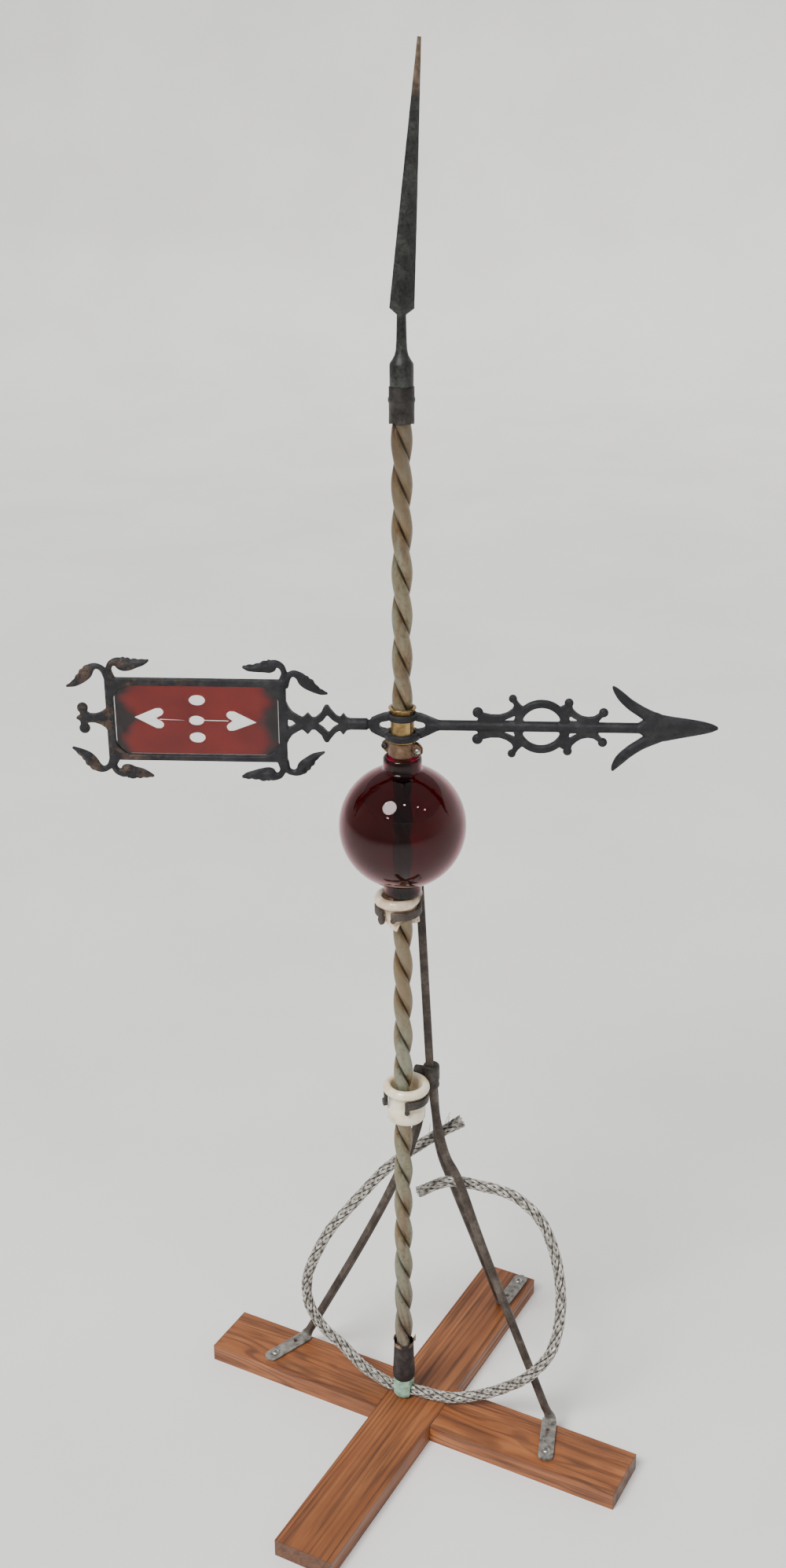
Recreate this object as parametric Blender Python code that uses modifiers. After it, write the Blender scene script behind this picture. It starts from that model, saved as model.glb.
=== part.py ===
"""Old weathervane on a lightning conductor.

A cast-iron arrow with a flashed glass pane in its tail turns about an upright twisted copper rod.
The rod carries a spear point at its top and a hollow glass ball below the arrow, goes down through
two porcelain insulators, and stands in a copper fitting on an oak cross. Three forged iron legs
meet in a cast bracket and steady it, and a braided conductor leaves the fitting at each side.

Metres, +Z up. The origin is on the rod's axis at the underside of the cross. The front is -Y and
the arrow points along +X.
"""
import bpy
import bmesh
from math import atan2, cos, pi, radians, sin, sqrt
from mathutils import Matrix, Vector

# Fits
TOUCH = 0.0003                  # gap between pieces that rest on or in each other
WELD = 0.000002                 # points nearer than this are one point
FLAT_ANGLE = 0.002              # faces this near to one plane are one face
ROUND = 16                      # sides of the middling round pieces
SMALL_ROUND = 8                 # sides of the small ones
BORE_SLACK = 0.0004             # extra radius of a hole that a round piece passes through

# Oak cross
PLANK_LENGTH = 0.459
PLANK_WIDTH = 0.0612
PLANK_THICK = 0.0185
CROSS_YAW = radians(-27.9)      # plank_a runs right and towards the front
CROSS_CENTRE = (0.013, -0.0057)

# Twisted rod: two round lobes side by side, turned about the axis
ROD_LOBE_RADIUS = 0.0066
ROD_LOBE_OFFSET = 0.0025
ROD_PITCH = 0.0752              # height of one full turn
ROD_PHASE = radians(125)        # direction of the lobes at the rod's foot
ROD_LENGTH = 1.0256
ROD_RADIUS = ROD_LOBE_RADIUS + ROD_LOBE_OFFSET
ROD_RINGS_PER_TURN = 6

# Foot fitting, its wrapped sleeve and the conductor
FITTING_RADIUS = 0.0106
FITTING_HEIGHT = 0.0240
FITTING_FOOT_RADIUS = 0.0072
SOCKET_DEPTH = 0.0040           # how far each conductor enters the fitting
SOCKET_HEIGHT = 0.0086          # height of the conductor's axis over the cross
EXIT_YAW = radians(-20)
CABLE_DIAMETER = 0.0120
CABLE_POINTS = 14
SLEEVE_WALL = 0.0011
SLEEVE_HEIGHT = 0.0455
SLEEVE_SWELL = 0.0006

# Porcelain insulators, two alike
INSULATOR_HEIGHT = 0.0385
LIP_RADIUS = 0.0224
LIP_THICK = 0.0095
WAIST_RADIUS = 0.0170
WAIST_HEIGHT = 0.0148
SKIRT_RADIUS = 0.0184
INSULATOR_BORE = 0.0287
LOWER_LIP_TOP = 0.3755          # over the top of the cross
UPPER_LIP_TOP = 0.5767
UPPER_TILT = radians(-2.6)      # the upper insulator leans, its left side down
TILT_RISE = 0.0008              # how far its right side rises and lifts the ball
LOWER_INSULATOR_AT = (0.0030, 0.0020)
BREAK_LINE = [                  # broken edge of the upper skirt, left to right, heights over its foot
    (-0.0124, 0.0192), (-0.0104, 0.0136), (-0.0054, 0.0090), (-0.0026, 0.0079), (-0.0008, 0.0135),
    (0.0020, 0.0168), (0.0095, 0.0176), (0.0148, 0.0168), (0.0170, 0.0080),
]
UPPER_INSULATOR_AT = (-0.0042, 0.0018)

# Split iron straps round the waists
STRAP_THICK = 0.0030
STRAP_HEIGHT = 0.0080
STRAP_SLACK = 0.0018            # between waist and strap
STRAP_UNDER_LIP = 0.0014
STRAP_GAP_FROM = radians(203)   # open at the front left
STRAP_GAP_TO = radians(266)
FINGER_WIDTH = 0.0042
FINGER_DROP = 0.0046
UPPER_GAP_FROM = radians(228)   # the upper strap's narrower gap
UPPER_GAP_TO = radians(251)
UPPER_FINGER_DROP = 0.0018
KNOB_RADIUS = 0.0040
KNOB_LEVEL = 0.0008             # knob centre over the strap's underside
UPPER_KNOB_LEVELS = (-0.0012, 0.0050)
ARM_WIDTH = 0.0062

# Cast bracket and the bar that climbs from it to the upper insulator
COLLAR_AT = (0.0272, 0.0262)
COLLAR_RADIUS = 0.0080
COLLAR_HEIGHT = 0.0250
COLLAR_FOOT = 0.3552            # underside of the collar over the top of the cross
BOSS_RADIUS = 0.0058
BOSS_REACH = 0.0172
BOSS_YAW = radians(163)
BOSS_LEVEL = 0.62               # height of the boss as a share of the collar's
REAR_SOCKET_RADIUS = 0.0060
REAR_SOCKET_SHIFT = (0.0024, 0.0096)
BAR_SIDE = 0.0080
BAR_FOOT_SHIFT = -0.0012
BAR_TOP_AT = (0.0155, 0.0260)
BAR_ABOVE_STRAP = 0.0060
LEG_SOCKET_DEPTH = 0.0080

# Forged legs, each flattened into a foot plate with two holes
ROUND_LEG_RADIUS = 0.0042
FLAT_LEG_SIDE = 0.0074
PLATE_WIDTH = 0.0152
PLATE_THICK = 0.0028
PLATE_HOLE_RADIUS = 0.0023
HOLE_FROM_END = 0.0120
INNER_HOLE_SHARE = 0.28         # place of the empty hole along the plate
LEG_RISE = 0.0022               # height of the leg's axis where it leaves the plate
PLATE_END_A = (-0.1455, 0.0512)
PLATE_LEG_A = (-0.1045, 0.0880)
PLATE_END_B = (0.1388, -0.0962)
PLATE_LEG_B = (0.1473, -0.0400)
PLATE_END_C = (0.1348, 0.1868)
PLATE_LEG_C = (0.1075, 0.1378)

LEG_STEPS = 2
LEG_BENDS = {                   # where each leg's axis bends on its way down
    "leg_left": [(0.0140, 0.0290, 0.3280), (-0.0080, 0.0390, 0.2560), (-0.0450, 0.0580, 0.1610)],
    "leg_right": [(0.0335, 0.0235, 0.3320), (0.0420, 0.0188, 0.2980), (0.0560, 0.0115, 0.2700),
                  (0.0830, -0.0031, 0.1914)],
    "leg_back": [(0.0322, 0.0370, 0.3320), (0.0370, 0.0436, 0.2870), (0.0535, 0.0655, 0.2230)],
}

# Wood screws in the outer holes
SCREW_HEAD_RADIUS = 0.0038
SCREW_HEAD_HEIGHT = 0.0020
SCREW_SHANK_RADIUS = 0.0017
SCREW_DEPTH = 0.0130

# Hollow glass ball
BALL_RADIUS = 0.05715
BALL_WALL = 0.0036
BALL_NECK_RADIUS = 0.0172
BALL_NECK_RISE = 0.0098         # how far each neck stands beyond the sphere's pole
BALL_SEGMENTS = 16

# Two-part clamp on the rod over the ball
CLAMP_OVER_BALL = 0.0010
CLAMP_HEIGHT = 0.0140
CLAMP_WALL = 0.0029
CLAMP_SPLIT = 0.0014
CLAMP_YAW = radians(-28)
EAR_REACH = 0.0068
EAR_THICK = 0.0024
CLAMP_SCREW_RADIUS = 0.0016
CLAMP_SCREW_HEAD = 0.0031

# Split brass sleeve on which the arrow turns
HUB_SLEEVE_WALL = 0.0009
FLANGE_THICK = 0.0012
TOP_FLANGE_LIP = 0.0014
BOTTOM_FLANGE_LIP = 0.0022
SLEEVE_ABOVE_HUB = 0.0034
SLEEVE_SLIT = 0.0012
SLEEVE_SLIT_YAW = radians(-45)

# Arrow hub, in heights from the middle of the shaft
VANE_YAW = radians(-2.8)        # the tail stands a little further back than the point
RUNNING_GAP = 0.0005            # between the brass sleeve and the turning hub
UPPER_RING_WALL = 0.0022
LOWER_RING_WALL = 0.0052
RING_HEIGHT = 0.0062
UPPER_RING_FOOT = 0.0052
LOWER_RING_TOP = -0.0063
HUB_DEPTH = 0.0076
WINDOW_REACH = 0.0200

# Arrow casting
SHAFT_RADIUS = 0.0047
FRAME_DEPTH = 0.0064
LEAF_DEPTH = 0.0050
WEB_DEPTH = 0.0058
RING_DEPTH = 0.0062
HEAD_DEPTH = 0.0082
KNOB_DEPTH = 0.0054

# Leaves at the frame's corners, their widths against the share of their length
LEAF_STEPS = 10                 # points along a leaf
LEAF_BACK = [(0.0, 0.0030), (0.25, 0.0027), (0.40, 0.0036), (0.60, 0.0052), (0.80, 0.0033), (1.0, 0.0006)]
LEAF_EDGE = [(0.0, 0.0030), (0.25, 0.0026), (0.44, 0.0034), (0.52, 0.0056), (0.75, 0.0042), (1.0, 0.0006)]
LEAF_BLADE_FROM = 0.50
LEAF_TIPS = {                   # outward and upward reach of each leaf's tip from its corner
    ("top", "left"): ((0.0347, -0.0083), (-0.0400, 0.0166)),
    ("bottom", "left"): ((0.0328, -0.0108), (-0.0390, 0.0155)),
    ("top", "right"): ((0.0369, -0.0119), (-0.0377, 0.0125)),
    ("bottom", "right"): ((0.0334, -0.0098), (-0.0412, 0.0160)),
}

# Half width of the head's barbs against the share of their length
BARB_HALF = [(0.0, 0.0046), (0.6, 0.0040), (0.85, 0.0029), (1.0, 0.0009)]

# Tail frame
FRAME_LEFT = -0.2602            # from the rod's axis
FRAME_WIDTH = 0.1587
FRAME_HEIGHT = 0.0762
FRAME_CENTRE_HEIGHT = 0.0015
SIDE_BAR = 0.0068
TOP_RAIL = 0.0060
BOTTOM_RAIL = 0.0050
GUSSET = 0.0118
PANE_THICK = 0.0030
PANE_GAP_SIDE = 0.0011
PANE_GAP_TOP = 0.0006
PANE_GAP_BOTTOM = 0.0014

# Ring ornament on the shaft
RING_AT = 0.1212
RING_OUTER = 0.0248
RING_INNER = 0.0174

# Spear point and the wrapped collar under it
POINT_COLLAR_RADIUS = 0.0106
POINT_COLLAR_HEIGHT = 0.0306
POINT_COLLAR_BEAD = 0.0007
CAP_RADIUS = 0.0099
CAP_HEIGHT = 0.0180
CAP_SHOULDER = 0.0095
CAP_SOCKET = 0.0160
NECK_RADIUS = 0.0038
NECK_FOOT_RADIUS = 0.0048
NECK_LENGTH = 0.0308
BLADE_LENGTH = 0.2055
BLADE_WIDTH = 0.0212
BLADE_THICK = 0.0084
BLADE_SHOULDER = 0.0050
BLADE_LEAN = radians(3.9)
BLADE_TURN = radians(18)
BLADE_TIP = 0.0011

# Heights that follow from the stack
DECK = PLANK_THICK
FITTING_FOOT = DECK + TOUCH
ROD_FOOT = FITTING_FOOT + FITTING_HEIGHT + TOUCH
ROD_TOP = ROD_FOOT + ROD_LENGTH
BALL_FOOT = DECK + UPPER_LIP_TOP + TILT_RISE + TOUCH
BALL_CENTRE = BALL_FOOT + BALL_NECK_RISE + BALL_RADIUS
BALL_TOP = BALL_CENTRE + BALL_RADIUS + BALL_NECK_RISE
CLAMP_FOOT = BALL_TOP + CLAMP_OVER_BALL
HUB_SLEEVE_FOOT = CLAMP_FOOT + CLAMP_HEIGHT + TOUCH
HUB_HEIGHT = HUB_SLEEVE_FOOT + FLANGE_THICK + RUNNING_GAP + RING_HEIGHT - LOWER_RING_TOP
HUB_SLEEVE_TOP = HUB_HEIGHT + UPPER_RING_FOOT + RING_HEIGHT + RUNNING_GAP + SLEEVE_ABOVE_HUB + FLANGE_THICK
HUB_BORE = ROD_RADIUS + BORE_SLACK + HUB_SLEEVE_WALL + RUNNING_GAP
STRAP_INNER = WAIST_RADIUS + STRAP_SLACK
STRAP_OUTER = STRAP_INNER + STRAP_THICK

# The free conductor's routes, from the fitting outwards, chosen by hand from the photograph
ROUTE_LEFT = [
    (-0.0300, 0.0125, 0.0305), (-0.0480, 0.0215, 0.0432), (-0.0655, 0.0310, 0.0580),
    (-0.0815, 0.0370, 0.0710), (-0.0930, 0.0410, 0.0850), (-0.0990, 0.0430, 0.1030),
    (-0.1005, 0.0440, 0.1220), (-0.0975, 0.0440, 0.1410), (-0.0900, 0.0440, 0.1610),
    (-0.0800, 0.0440, 0.1830), (-0.0660, 0.0440, 0.2050), (-0.0480, 0.0440, 0.2270),
    (-0.0290, 0.0460, 0.2515), (-0.0100, 0.0480, 0.2700), (0.0060, 0.0500, 0.2820),
    (0.0200, 0.0515, 0.2920), (0.0350, 0.0545, 0.3000), (0.0480, 0.0560, 0.3085),
    (0.0590, 0.0565, 0.3140),
]
ROUTE_RIGHT = [
    (0.0300, -0.0125, 0.0262), (0.0520, -0.0150, 0.0268), (0.0750, -0.0180, 0.0325),
    (0.0965, -0.0260, 0.0460), (0.1130, -0.0350, 0.0640), (0.1255, -0.0415, 0.0780),
    (0.1330, -0.0435, 0.0880), (0.1430, -0.0425, 0.1010), (0.1495, -0.0380, 0.1150),
    (0.1545, -0.0300, 0.1340), (0.1565, -0.0220, 0.1545), (0.1540, -0.0120, 0.1790),
    (0.1485, -0.0020, 0.2035), (0.1410, 0.0060, 0.2210), (0.1300, 0.0130, 0.2350),
    (0.1150, 0.0200, 0.2460), (0.0955, 0.0250, 0.2530), (0.0735, 0.0280, 0.2570),
    (0.0560, 0.0300, 0.2590), (0.0425, 0.0320, 0.2585), (0.0275, 0.0345, 0.2530),
    (0.0150, 0.0365, 0.2430),
]

# Materials: colour, roughness, metallic
OAK = ("oak", (0.30, 0.13, 0.055), 0.55, 0.0)
COPPER = ("weathered_copper", (0.27, 0.25, 0.17), 0.45, 0.8)
DARK_COPPER = ("dark_copper", (0.055, 0.055, 0.05), 0.45, 0.7)
VERDIGRIS = ("verdigris", (0.30, 0.50, 0.38), 0.8, 0.0)
SLEEVE_WRAP = ("sleeve_wrap", (0.035, 0.028, 0.028), 0.6, 0.2)
PORCELAIN = ("porcelain", (0.82, 0.74, 0.58), 0.2, 0.0)
AGED_PORCELAIN = ("aged_porcelain", (0.66, 0.52, 0.40), 0.25, 0.0)
CAST_IRON = ("cast_iron", (0.022, 0.021, 0.024), 0.6, 0.5)
RUSTY_IRON = ("rusty_iron", (0.085, 0.060, 0.048), 0.7, 0.4)
BRACKET_IRON = ("bracket_iron", (0.055, 0.050, 0.045), 0.65, 0.5)
STEEL = ("bright_steel", (0.60, 0.60, 0.60), 0.3, 1.0)
BRASS = ("brass", (0.50, 0.33, 0.14), 0.35, 1.0)
CLAMP_COPPER = ("clamp_copper", (0.36, 0.20, 0.12), 0.4, 0.9)
BALL_GLASS = ("ball_glass", (0.10, 0.012, 0.022), 0.05, 0.0)
PANE_GLASS = ("ruby_glass", (0.42, 0.035, 0.025), 0.15, 0.0)
BRAID = ("braid", (0.50, 0.48, 0.44), 0.45, 0.8)


def new_collection(name):
    """Make a collection and link it to the scene."""
    collection = bpy.data.collections.new(name)
    bpy.context.scene.collection.children.link(collection)
    return collection


def make_material(spec):
    """Return the Principled material of a (name, colour, roughness, metallic) spec."""
    name, colour, roughness, metallic = spec
    material = bpy.data.materials.get(name)
    if material is None:
        material = bpy.data.materials.new(name)
        material.use_nodes = True
        shader = material.node_tree.nodes["Principled BSDF"]
        shader.inputs["Base Color"].default_value = (*colour, 1.0)
        shader.inputs["Roughness"].default_value = roughness
        shader.inputs["Metallic"].default_value = metallic
        material.diffuse_color = (*colour, 1.0)
    return material


def add_object(name, data, collection):
    """Put mesh or curve data into the scene as an object."""
    obj = bpy.data.objects.new(name, data)
    collection.objects.link(obj)
    return obj


def as_mesh(obj):
    """Replace an object by its evaluated mesh, with near-equal points welded."""
    graph = bpy.context.evaluated_depsgraph_get()
    mesh = bpy.data.meshes.new_from_object(obj.evaluated_get(graph))
    name = obj.name
    collection = obj.users_collection[0]
    matrix = obj.matrix_world.copy()
    bpy.data.objects.remove(obj)
    solid = add_object(name, mesh, collection)
    solid.matrix_world = matrix
    bm = bmesh.new()
    bm.from_mesh(mesh)
    bmesh.ops.remove_doubles(bm, verts=bm.verts, dist=WELD)
    bmesh.ops.recalc_face_normals(bm, faces=bm.faces)
    bm.to_mesh(mesh)
    bm.free()
    return solid


def turned(name, profile, steps, collection, ring=False):
    """Turn a profile of (radius, height) about Z. The outer side runs from top to bottom."""
    mesh = bpy.data.meshes.new(name)
    edges = [(i, i + 1) for i in range(len(profile) - 1)]
    if ring:
        edges.append((len(profile) - 1, 0))
    mesh.from_pydata([(r, 0.0, z) for r, z in profile], edges, [])
    obj = add_object(name, mesh, collection)
    screw = obj.modifiers.new("turn", "SCREW")
    screw.steps = steps
    screw.render_steps = steps
    screw.use_merge_vertices = True
    screw.merge_threshold = 0.00001
    screw.use_normal_calculate = False
    return as_mesh(obj)


def extruded(name, outlines, depth, collection, upright=False):
    """Extrude flat outlines; the first is the outer one and the others are holes.

    A flat outline lies in XY, or in XZ when upright, and the solid is centred on that plane.
    """
    curve = bpy.data.curves.new(name, "CURVE")
    curve.dimensions = "2D"
    curve.fill_mode = "BOTH"
    curve.extrude = depth / 2
    for outline in outlines:
        spline = curve.splines.new("POLY")
        spline.points.add(len(outline) - 1)
        for point, (x, y) in zip(spline.points, outline):
            point.co = (x, y, 0.0, 1.0)
        spline.use_cyclic_u = True
    obj = add_object(name, curve, collection)
    if upright:
        obj.rotation_euler = (pi / 2, 0, 0)
        bpy.context.view_layer.update()
    solid = as_mesh(obj)
    apply_transform(solid)
    return solid


def apply_transform(obj):
    """Move an object's rotation and place into its mesh."""
    bpy.context.view_layer.update()
    obj.data.transform(obj.matrix_world)
    obj.matrix_world = Matrix.Identity(4)


def block(name, size, centre, collection, yaw=0.0):
    """A box of a size at a centre, turned about Z by yaw."""
    bpy.ops.mesh.primitive_cube_add(size=1.0)
    obj = bpy.context.object
    obj.name = name
    for owner in list(obj.users_collection):
        owner.objects.unlink(obj)
    collection.objects.link(obj)
    place = Matrix.Translation(Vector(centre)) @ Matrix.Rotation(yaw, 4, "Z")
    obj.matrix_world = place @ Matrix.Diagonal((*size, 1.0))
    apply_transform(obj)
    return obj


def rod_between(name, start, end, radius, sides, collection):
    """A round bar from one point to another."""
    start = Vector(start)
    end = Vector(end)
    span = end - start
    bpy.ops.mesh.primitive_cylinder_add(vertices=sides, radius=radius, depth=span.length)
    obj = bpy.context.object
    obj.name = name
    for owner in list(obj.users_collection):
        owner.objects.unlink(obj)
    collection.objects.link(obj)
    turn = span.to_track_quat("Z", "Y").to_matrix().to_4x4()
    obj.matrix_world = Matrix.Translation((start + end) / 2) @ turn
    apply_transform(obj)
    return obj


def tube(name, points, radius, resolution, collection, tilt=0.0):
    """A tube of one radius along a list of points, closed at both ends."""
    curve = bpy.data.curves.new(name, "CURVE")
    curve.dimensions = "3D"
    curve.bevel_depth = radius
    curve.bevel_resolution = resolution
    curve.use_fill_caps = True
    spline = curve.splines.new("POLY")
    spline.points.add(len(points) - 1)
    for point, co in zip(spline.points, points):
        point.co = (*co, 1.0)
        point.tilt = tilt
    return as_mesh(add_object(name, curve, collection))


def combine(target, others, operation="UNION"):
    """Join solids to a target, or cut them from it, one after another."""
    for other in others:
        modifier = target.modifiers.new(operation.lower(), "BOOLEAN")
        modifier.operation = operation
        modifier.solver = "EXACT"
        modifier.object = other
    target = as_mesh(target)
    for other in others:
        bpy.data.objects.remove(other)
    merge_flat_faces(target.data)
    return target


def merge_flat_faces(mesh):
    """Melt the edges that lie inside flat faces, and the points that lie along straight edges."""
    bm = bmesh.new()
    bm.from_mesh(mesh)
    bmesh.ops.dissolve_limit(bm, angle_limit=FLAT_ANGLE, use_dissolve_boundaries=False, verts=bm.verts,
                             edges=bm.edges)
    bmesh.ops.triangulate(bm, faces=[face for face in bm.faces if len(face.verts) > 4])
    loose = [edge for edge in bm.edges if not edge.link_faces]
    bmesh.ops.delete(bm, geom=loose, context="EDGES")
    bm.to_mesh(mesh)
    bm.free()


def cut(target, cutters):
    """Cut solids out of a target."""
    return combine(target, cutters, "DIFFERENCE")


def smooth_round(obj):
    """Shade a round piece smooth and keep its true edges."""
    obj.data.shade_smooth()
    obj.data.set_sharp_from_angle(angle=radians(35))


def finish(obj, spec, location=(0.0, 0.0, 0.0), yaw=0.0):
    """Give a sub-part its material, place and shading."""
    obj.data.materials.clear()
    obj.data.materials.append(make_material(spec))
    obj.location = location
    obj.rotation_euler = (0.0, 0.0, yaw)
    smooth_round(obj)
    return obj


def catmull_rom(points, per_span):
    """Sample a smooth curve through points."""
    points = [Vector(p) for p in points]
    padded = [2 * points[0] - points[1], *points, 2 * points[-1] - points[-2]]
    samples = []
    for i in range(1, len(padded) - 2):
        a, b, c, d = padded[i - 1:i + 3]
        for k in range(per_span):
            t = k / per_span
            samples.append(0.5 * ((2 * b) + (c - a) * t + (2 * a - 5 * b + 4 * c - d) * t ** 2
                                  + (3 * b - a - 3 * c + d) * t ** 3))
    samples.append(points[-1])
    return samples


def evenly(points, count):
    """Space points evenly along a sampled path."""
    lengths = [0.0]
    for a, b in zip(points, points[1:]):
        lengths.append(lengths[-1] + (b - a).length)
    spaced = []
    index = 0
    for k in range(count):
        target = lengths[-1] * k / (count - 1)
        while index < len(points) - 2 and lengths[index + 1] < target:
            index += 1
        span = lengths[index + 1] - lengths[index]
        spaced.append(points[index].lerp(points[index + 1], (target - lengths[index]) / span))
    return spaced


def arc(centre, radius, start, stop, count):
    """Points on an arc in a flat outline, both ends included."""
    return [(centre[0] + radius * cos(start + (stop - start) * k / (count - 1)),
             centre[1] + radius * sin(start + (stop - start) * k / (count - 1))) for k in range(count)]


def plank_cutter(name, plank_yaw, width, low, high, collection):
    """The block that a plank takes out of the one it crosses."""
    height = high - low
    centre = (*CROSS_CENTRE, (low + high) / 2)
    return block(name, (PLANK_LENGTH, width, height), centre, collection, plank_yaw)


def screw_place(end, leg):
    """Centre of a foot plate's outer hole."""
    along = Vector((leg[0] - end[0], leg[1] - end[1])).normalized()
    return Vector(end) + along * HOLE_FROM_END


def build_cross(parts, cutters):
    """Two planks halved into each other, with pilot holes for the foot screws."""
    feet = [(PLATE_END_A, PLATE_LEG_A), (PLATE_END_B, PLATE_LEG_B), (PLATE_END_C, PLATE_LEG_C)]
    slack = 2 * TOUCH
    over = PLANK_THICK
    for name, yaw, other_yaw, low, high, carried in (
            ("cross_plank_a", CROSS_YAW, CROSS_YAW + pi / 2, PLANK_THICK / 2 - TOUCH, PLANK_THICK + over,
             feet[:2]),
            ("cross_plank_b", CROSS_YAW + pi / 2, CROSS_YAW, -over, PLANK_THICK / 2, feet[2:])):
        centre = (*CROSS_CENTRE, PLANK_THICK / 2)
        plank = block(name, (PLANK_LENGTH, PLANK_WIDTH, PLANK_THICK), centre, parts, yaw)
        notch = plank_cutter(name + "_notch", other_yaw, PLANK_WIDTH + slack, low, high, cutters)
        pilots = []
        for end, leg in carried:
            x, y = screw_place(end, leg)
            bottom = DECK - SCREW_DEPTH - TOUCH
            pilots.append(rod_between(name + "_pilot", (x, y, bottom), (x, y, DECK + over),
                                      SCREW_SHANK_RADIUS + BORE_SLACK, SMALL_ROUND, cutters))
        finish(cut(plank, [notch, *pilots]), OAK)


def cable_points(route, side):
    """Sampled centre line of one conductor, from inside the fitting to its free end."""
    out = Vector((cos(EXIT_YAW), sin(EXIT_YAW), 0.0)) * side
    height = Vector((0.0, 0.0, FITTING_FOOT + SOCKET_HEIGHT))
    start = height + out * (FITTING_RADIUS - SOCKET_DEPTH + TOUCH)
    mouth = height + out * (FITTING_RADIUS + 0.1 * CABLE_DIAMETER)
    lead = height + out * (FITTING_RADIUS + 0.4 * CABLE_DIAMETER)
    return [start, mouth, *evenly(catmull_rom([lead, *route], 8), CABLE_POINTS)]


def build_foot(parts, cutters):
    """Copper fitting with a socket each side, and the wrapped sleeve over the rod's foot."""
    r = FITTING_RADIUS
    h = FITTING_HEIGHT
    profile = [(0.0, h), (r, h), (r, 0.36 * h), (0.92 * r, 0.14 * h), (FITTING_FOOT_RADIUS, 0.0), (0.0, 0.0)]
    fitting = turned("foot_fitting", profile, ROUND, parts)
    sockets = []
    for side in (-1, 1):
        out = Vector((cos(EXIT_YAW), sin(EXIT_YAW), 0.0)) * side
        level = Vector((0.0, 0.0, SOCKET_HEIGHT))
        sockets.append(rod_between("socket", level + out * (r - SOCKET_DEPTH), level + out * 2 * r,
                                   CABLE_DIAMETER / 2 + 2 * TOUCH, 10, cutters))
    finish(cut(fitting, sockets), VERDIGRIS, (0, 0, FITTING_FOOT))

    inner = ROD_RADIUS + BORE_SLACK
    outer = inner + SLEEVE_WALL
    top = SLEEVE_HEIGHT
    wrap = [(outer - 0.0004, top), (outer + SLEEVE_SWELL, 0.38 * top), (outer + SLEEVE_SWELL, 0.10 * top),
            (outer, 0.0), (inner, 0.0), (inner, top)]
    sleeve = turned("foot_sleeve", wrap, ROUND, parts, ring=True)
    finish(sleeve, SLEEVE_WRAP, (0, 0, ROD_FOOT))

    for name, route, side in (("cable_left", ROUTE_LEFT, -1), ("cable_right", ROUTE_RIGHT, 1)):
        finish(tube(name, cable_points(route, side), CABLE_DIAMETER / 2, 2, parts), BRAID)


def lobe_section():
    """Outline of the rod: two overlapping circles, from cusp to cusp."""
    half = pi - atan2(sqrt(ROD_LOBE_RADIUS ** 2 - ROD_LOBE_OFFSET ** 2), ROD_LOBE_OFFSET)
    right = arc((ROD_LOBE_OFFSET, 0.0), ROD_LOBE_RADIUS, -half, half, 5)
    left = [(-x, -y) for x, y in right]
    return right[:-1] + left[:-1]


def build_rod(parts):
    """The twisted rod: its section carried up the axis and turned left-handed as it climbs."""
    section = bpy.data.curves.new("rod_section", "CURVE")
    section.dimensions = "2D"
    spline = section.splines.new("POLY")
    outline = lobe_section()
    spline.points.add(len(outline) - 1)
    for point, (x, y) in zip(spline.points, outline):
        point.co = (x, y, 0.0, 1.0)
    spline.use_cyclic_u = True
    guide = bpy.data.objects.new("rod_section", section)

    curve = bpy.data.curves.new("rod", "CURVE")
    curve.dimensions = "3D"
    curve.bevel_mode = "OBJECT"
    curve.bevel_object = guide
    curve.use_fill_caps = True
    rings = round(ROD_RINGS_PER_TURN * ROD_LENGTH / ROD_PITCH)
    spline = curve.splines.new("POLY")
    spline.points.add(rings)
    for k, point in enumerate(spline.points):
        rise = ROD_LENGTH * k / rings
        point.co = (0.0, 0.0, rise, 1.0)
        point.tilt = ROD_PHASE - 2 * pi * rise / ROD_PITCH
    rod = as_mesh(add_object("rod", curve, parts))
    bpy.data.objects.remove(guide)
    finish(rod, COPPER, (0, 0, ROD_FOOT))


def insulator_profile():
    """Closed profile of an insulator, with its top at height zero."""
    bore = INSULATOR_BORE / 2
    middle = (LIP_RADIUS + bore) / 2
    half = (LIP_RADIUS - bore) / 2
    waist_top = -LIP_THICK
    waist_foot = waist_top - WAIST_HEIGHT
    foot = -INSULATOR_HEIGHT
    crown = [(middle + half * cos(a), (LIP_THICK / 2) * (sin(a) - 1))
             for a in (radians(90), radians(42), radians(-5), radians(-50))]
    return [*crown, (WAIST_RADIUS, waist_top), (WAIST_RADIUS, waist_foot),
            (SKIRT_RADIUS, waist_foot - 0.0016), (SKIRT_RADIUS, foot + 0.0014),
            (SKIRT_RADIUS - 0.0014, foot), (bore, foot), (bore, -0.4 * LIP_THICK)]


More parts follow.
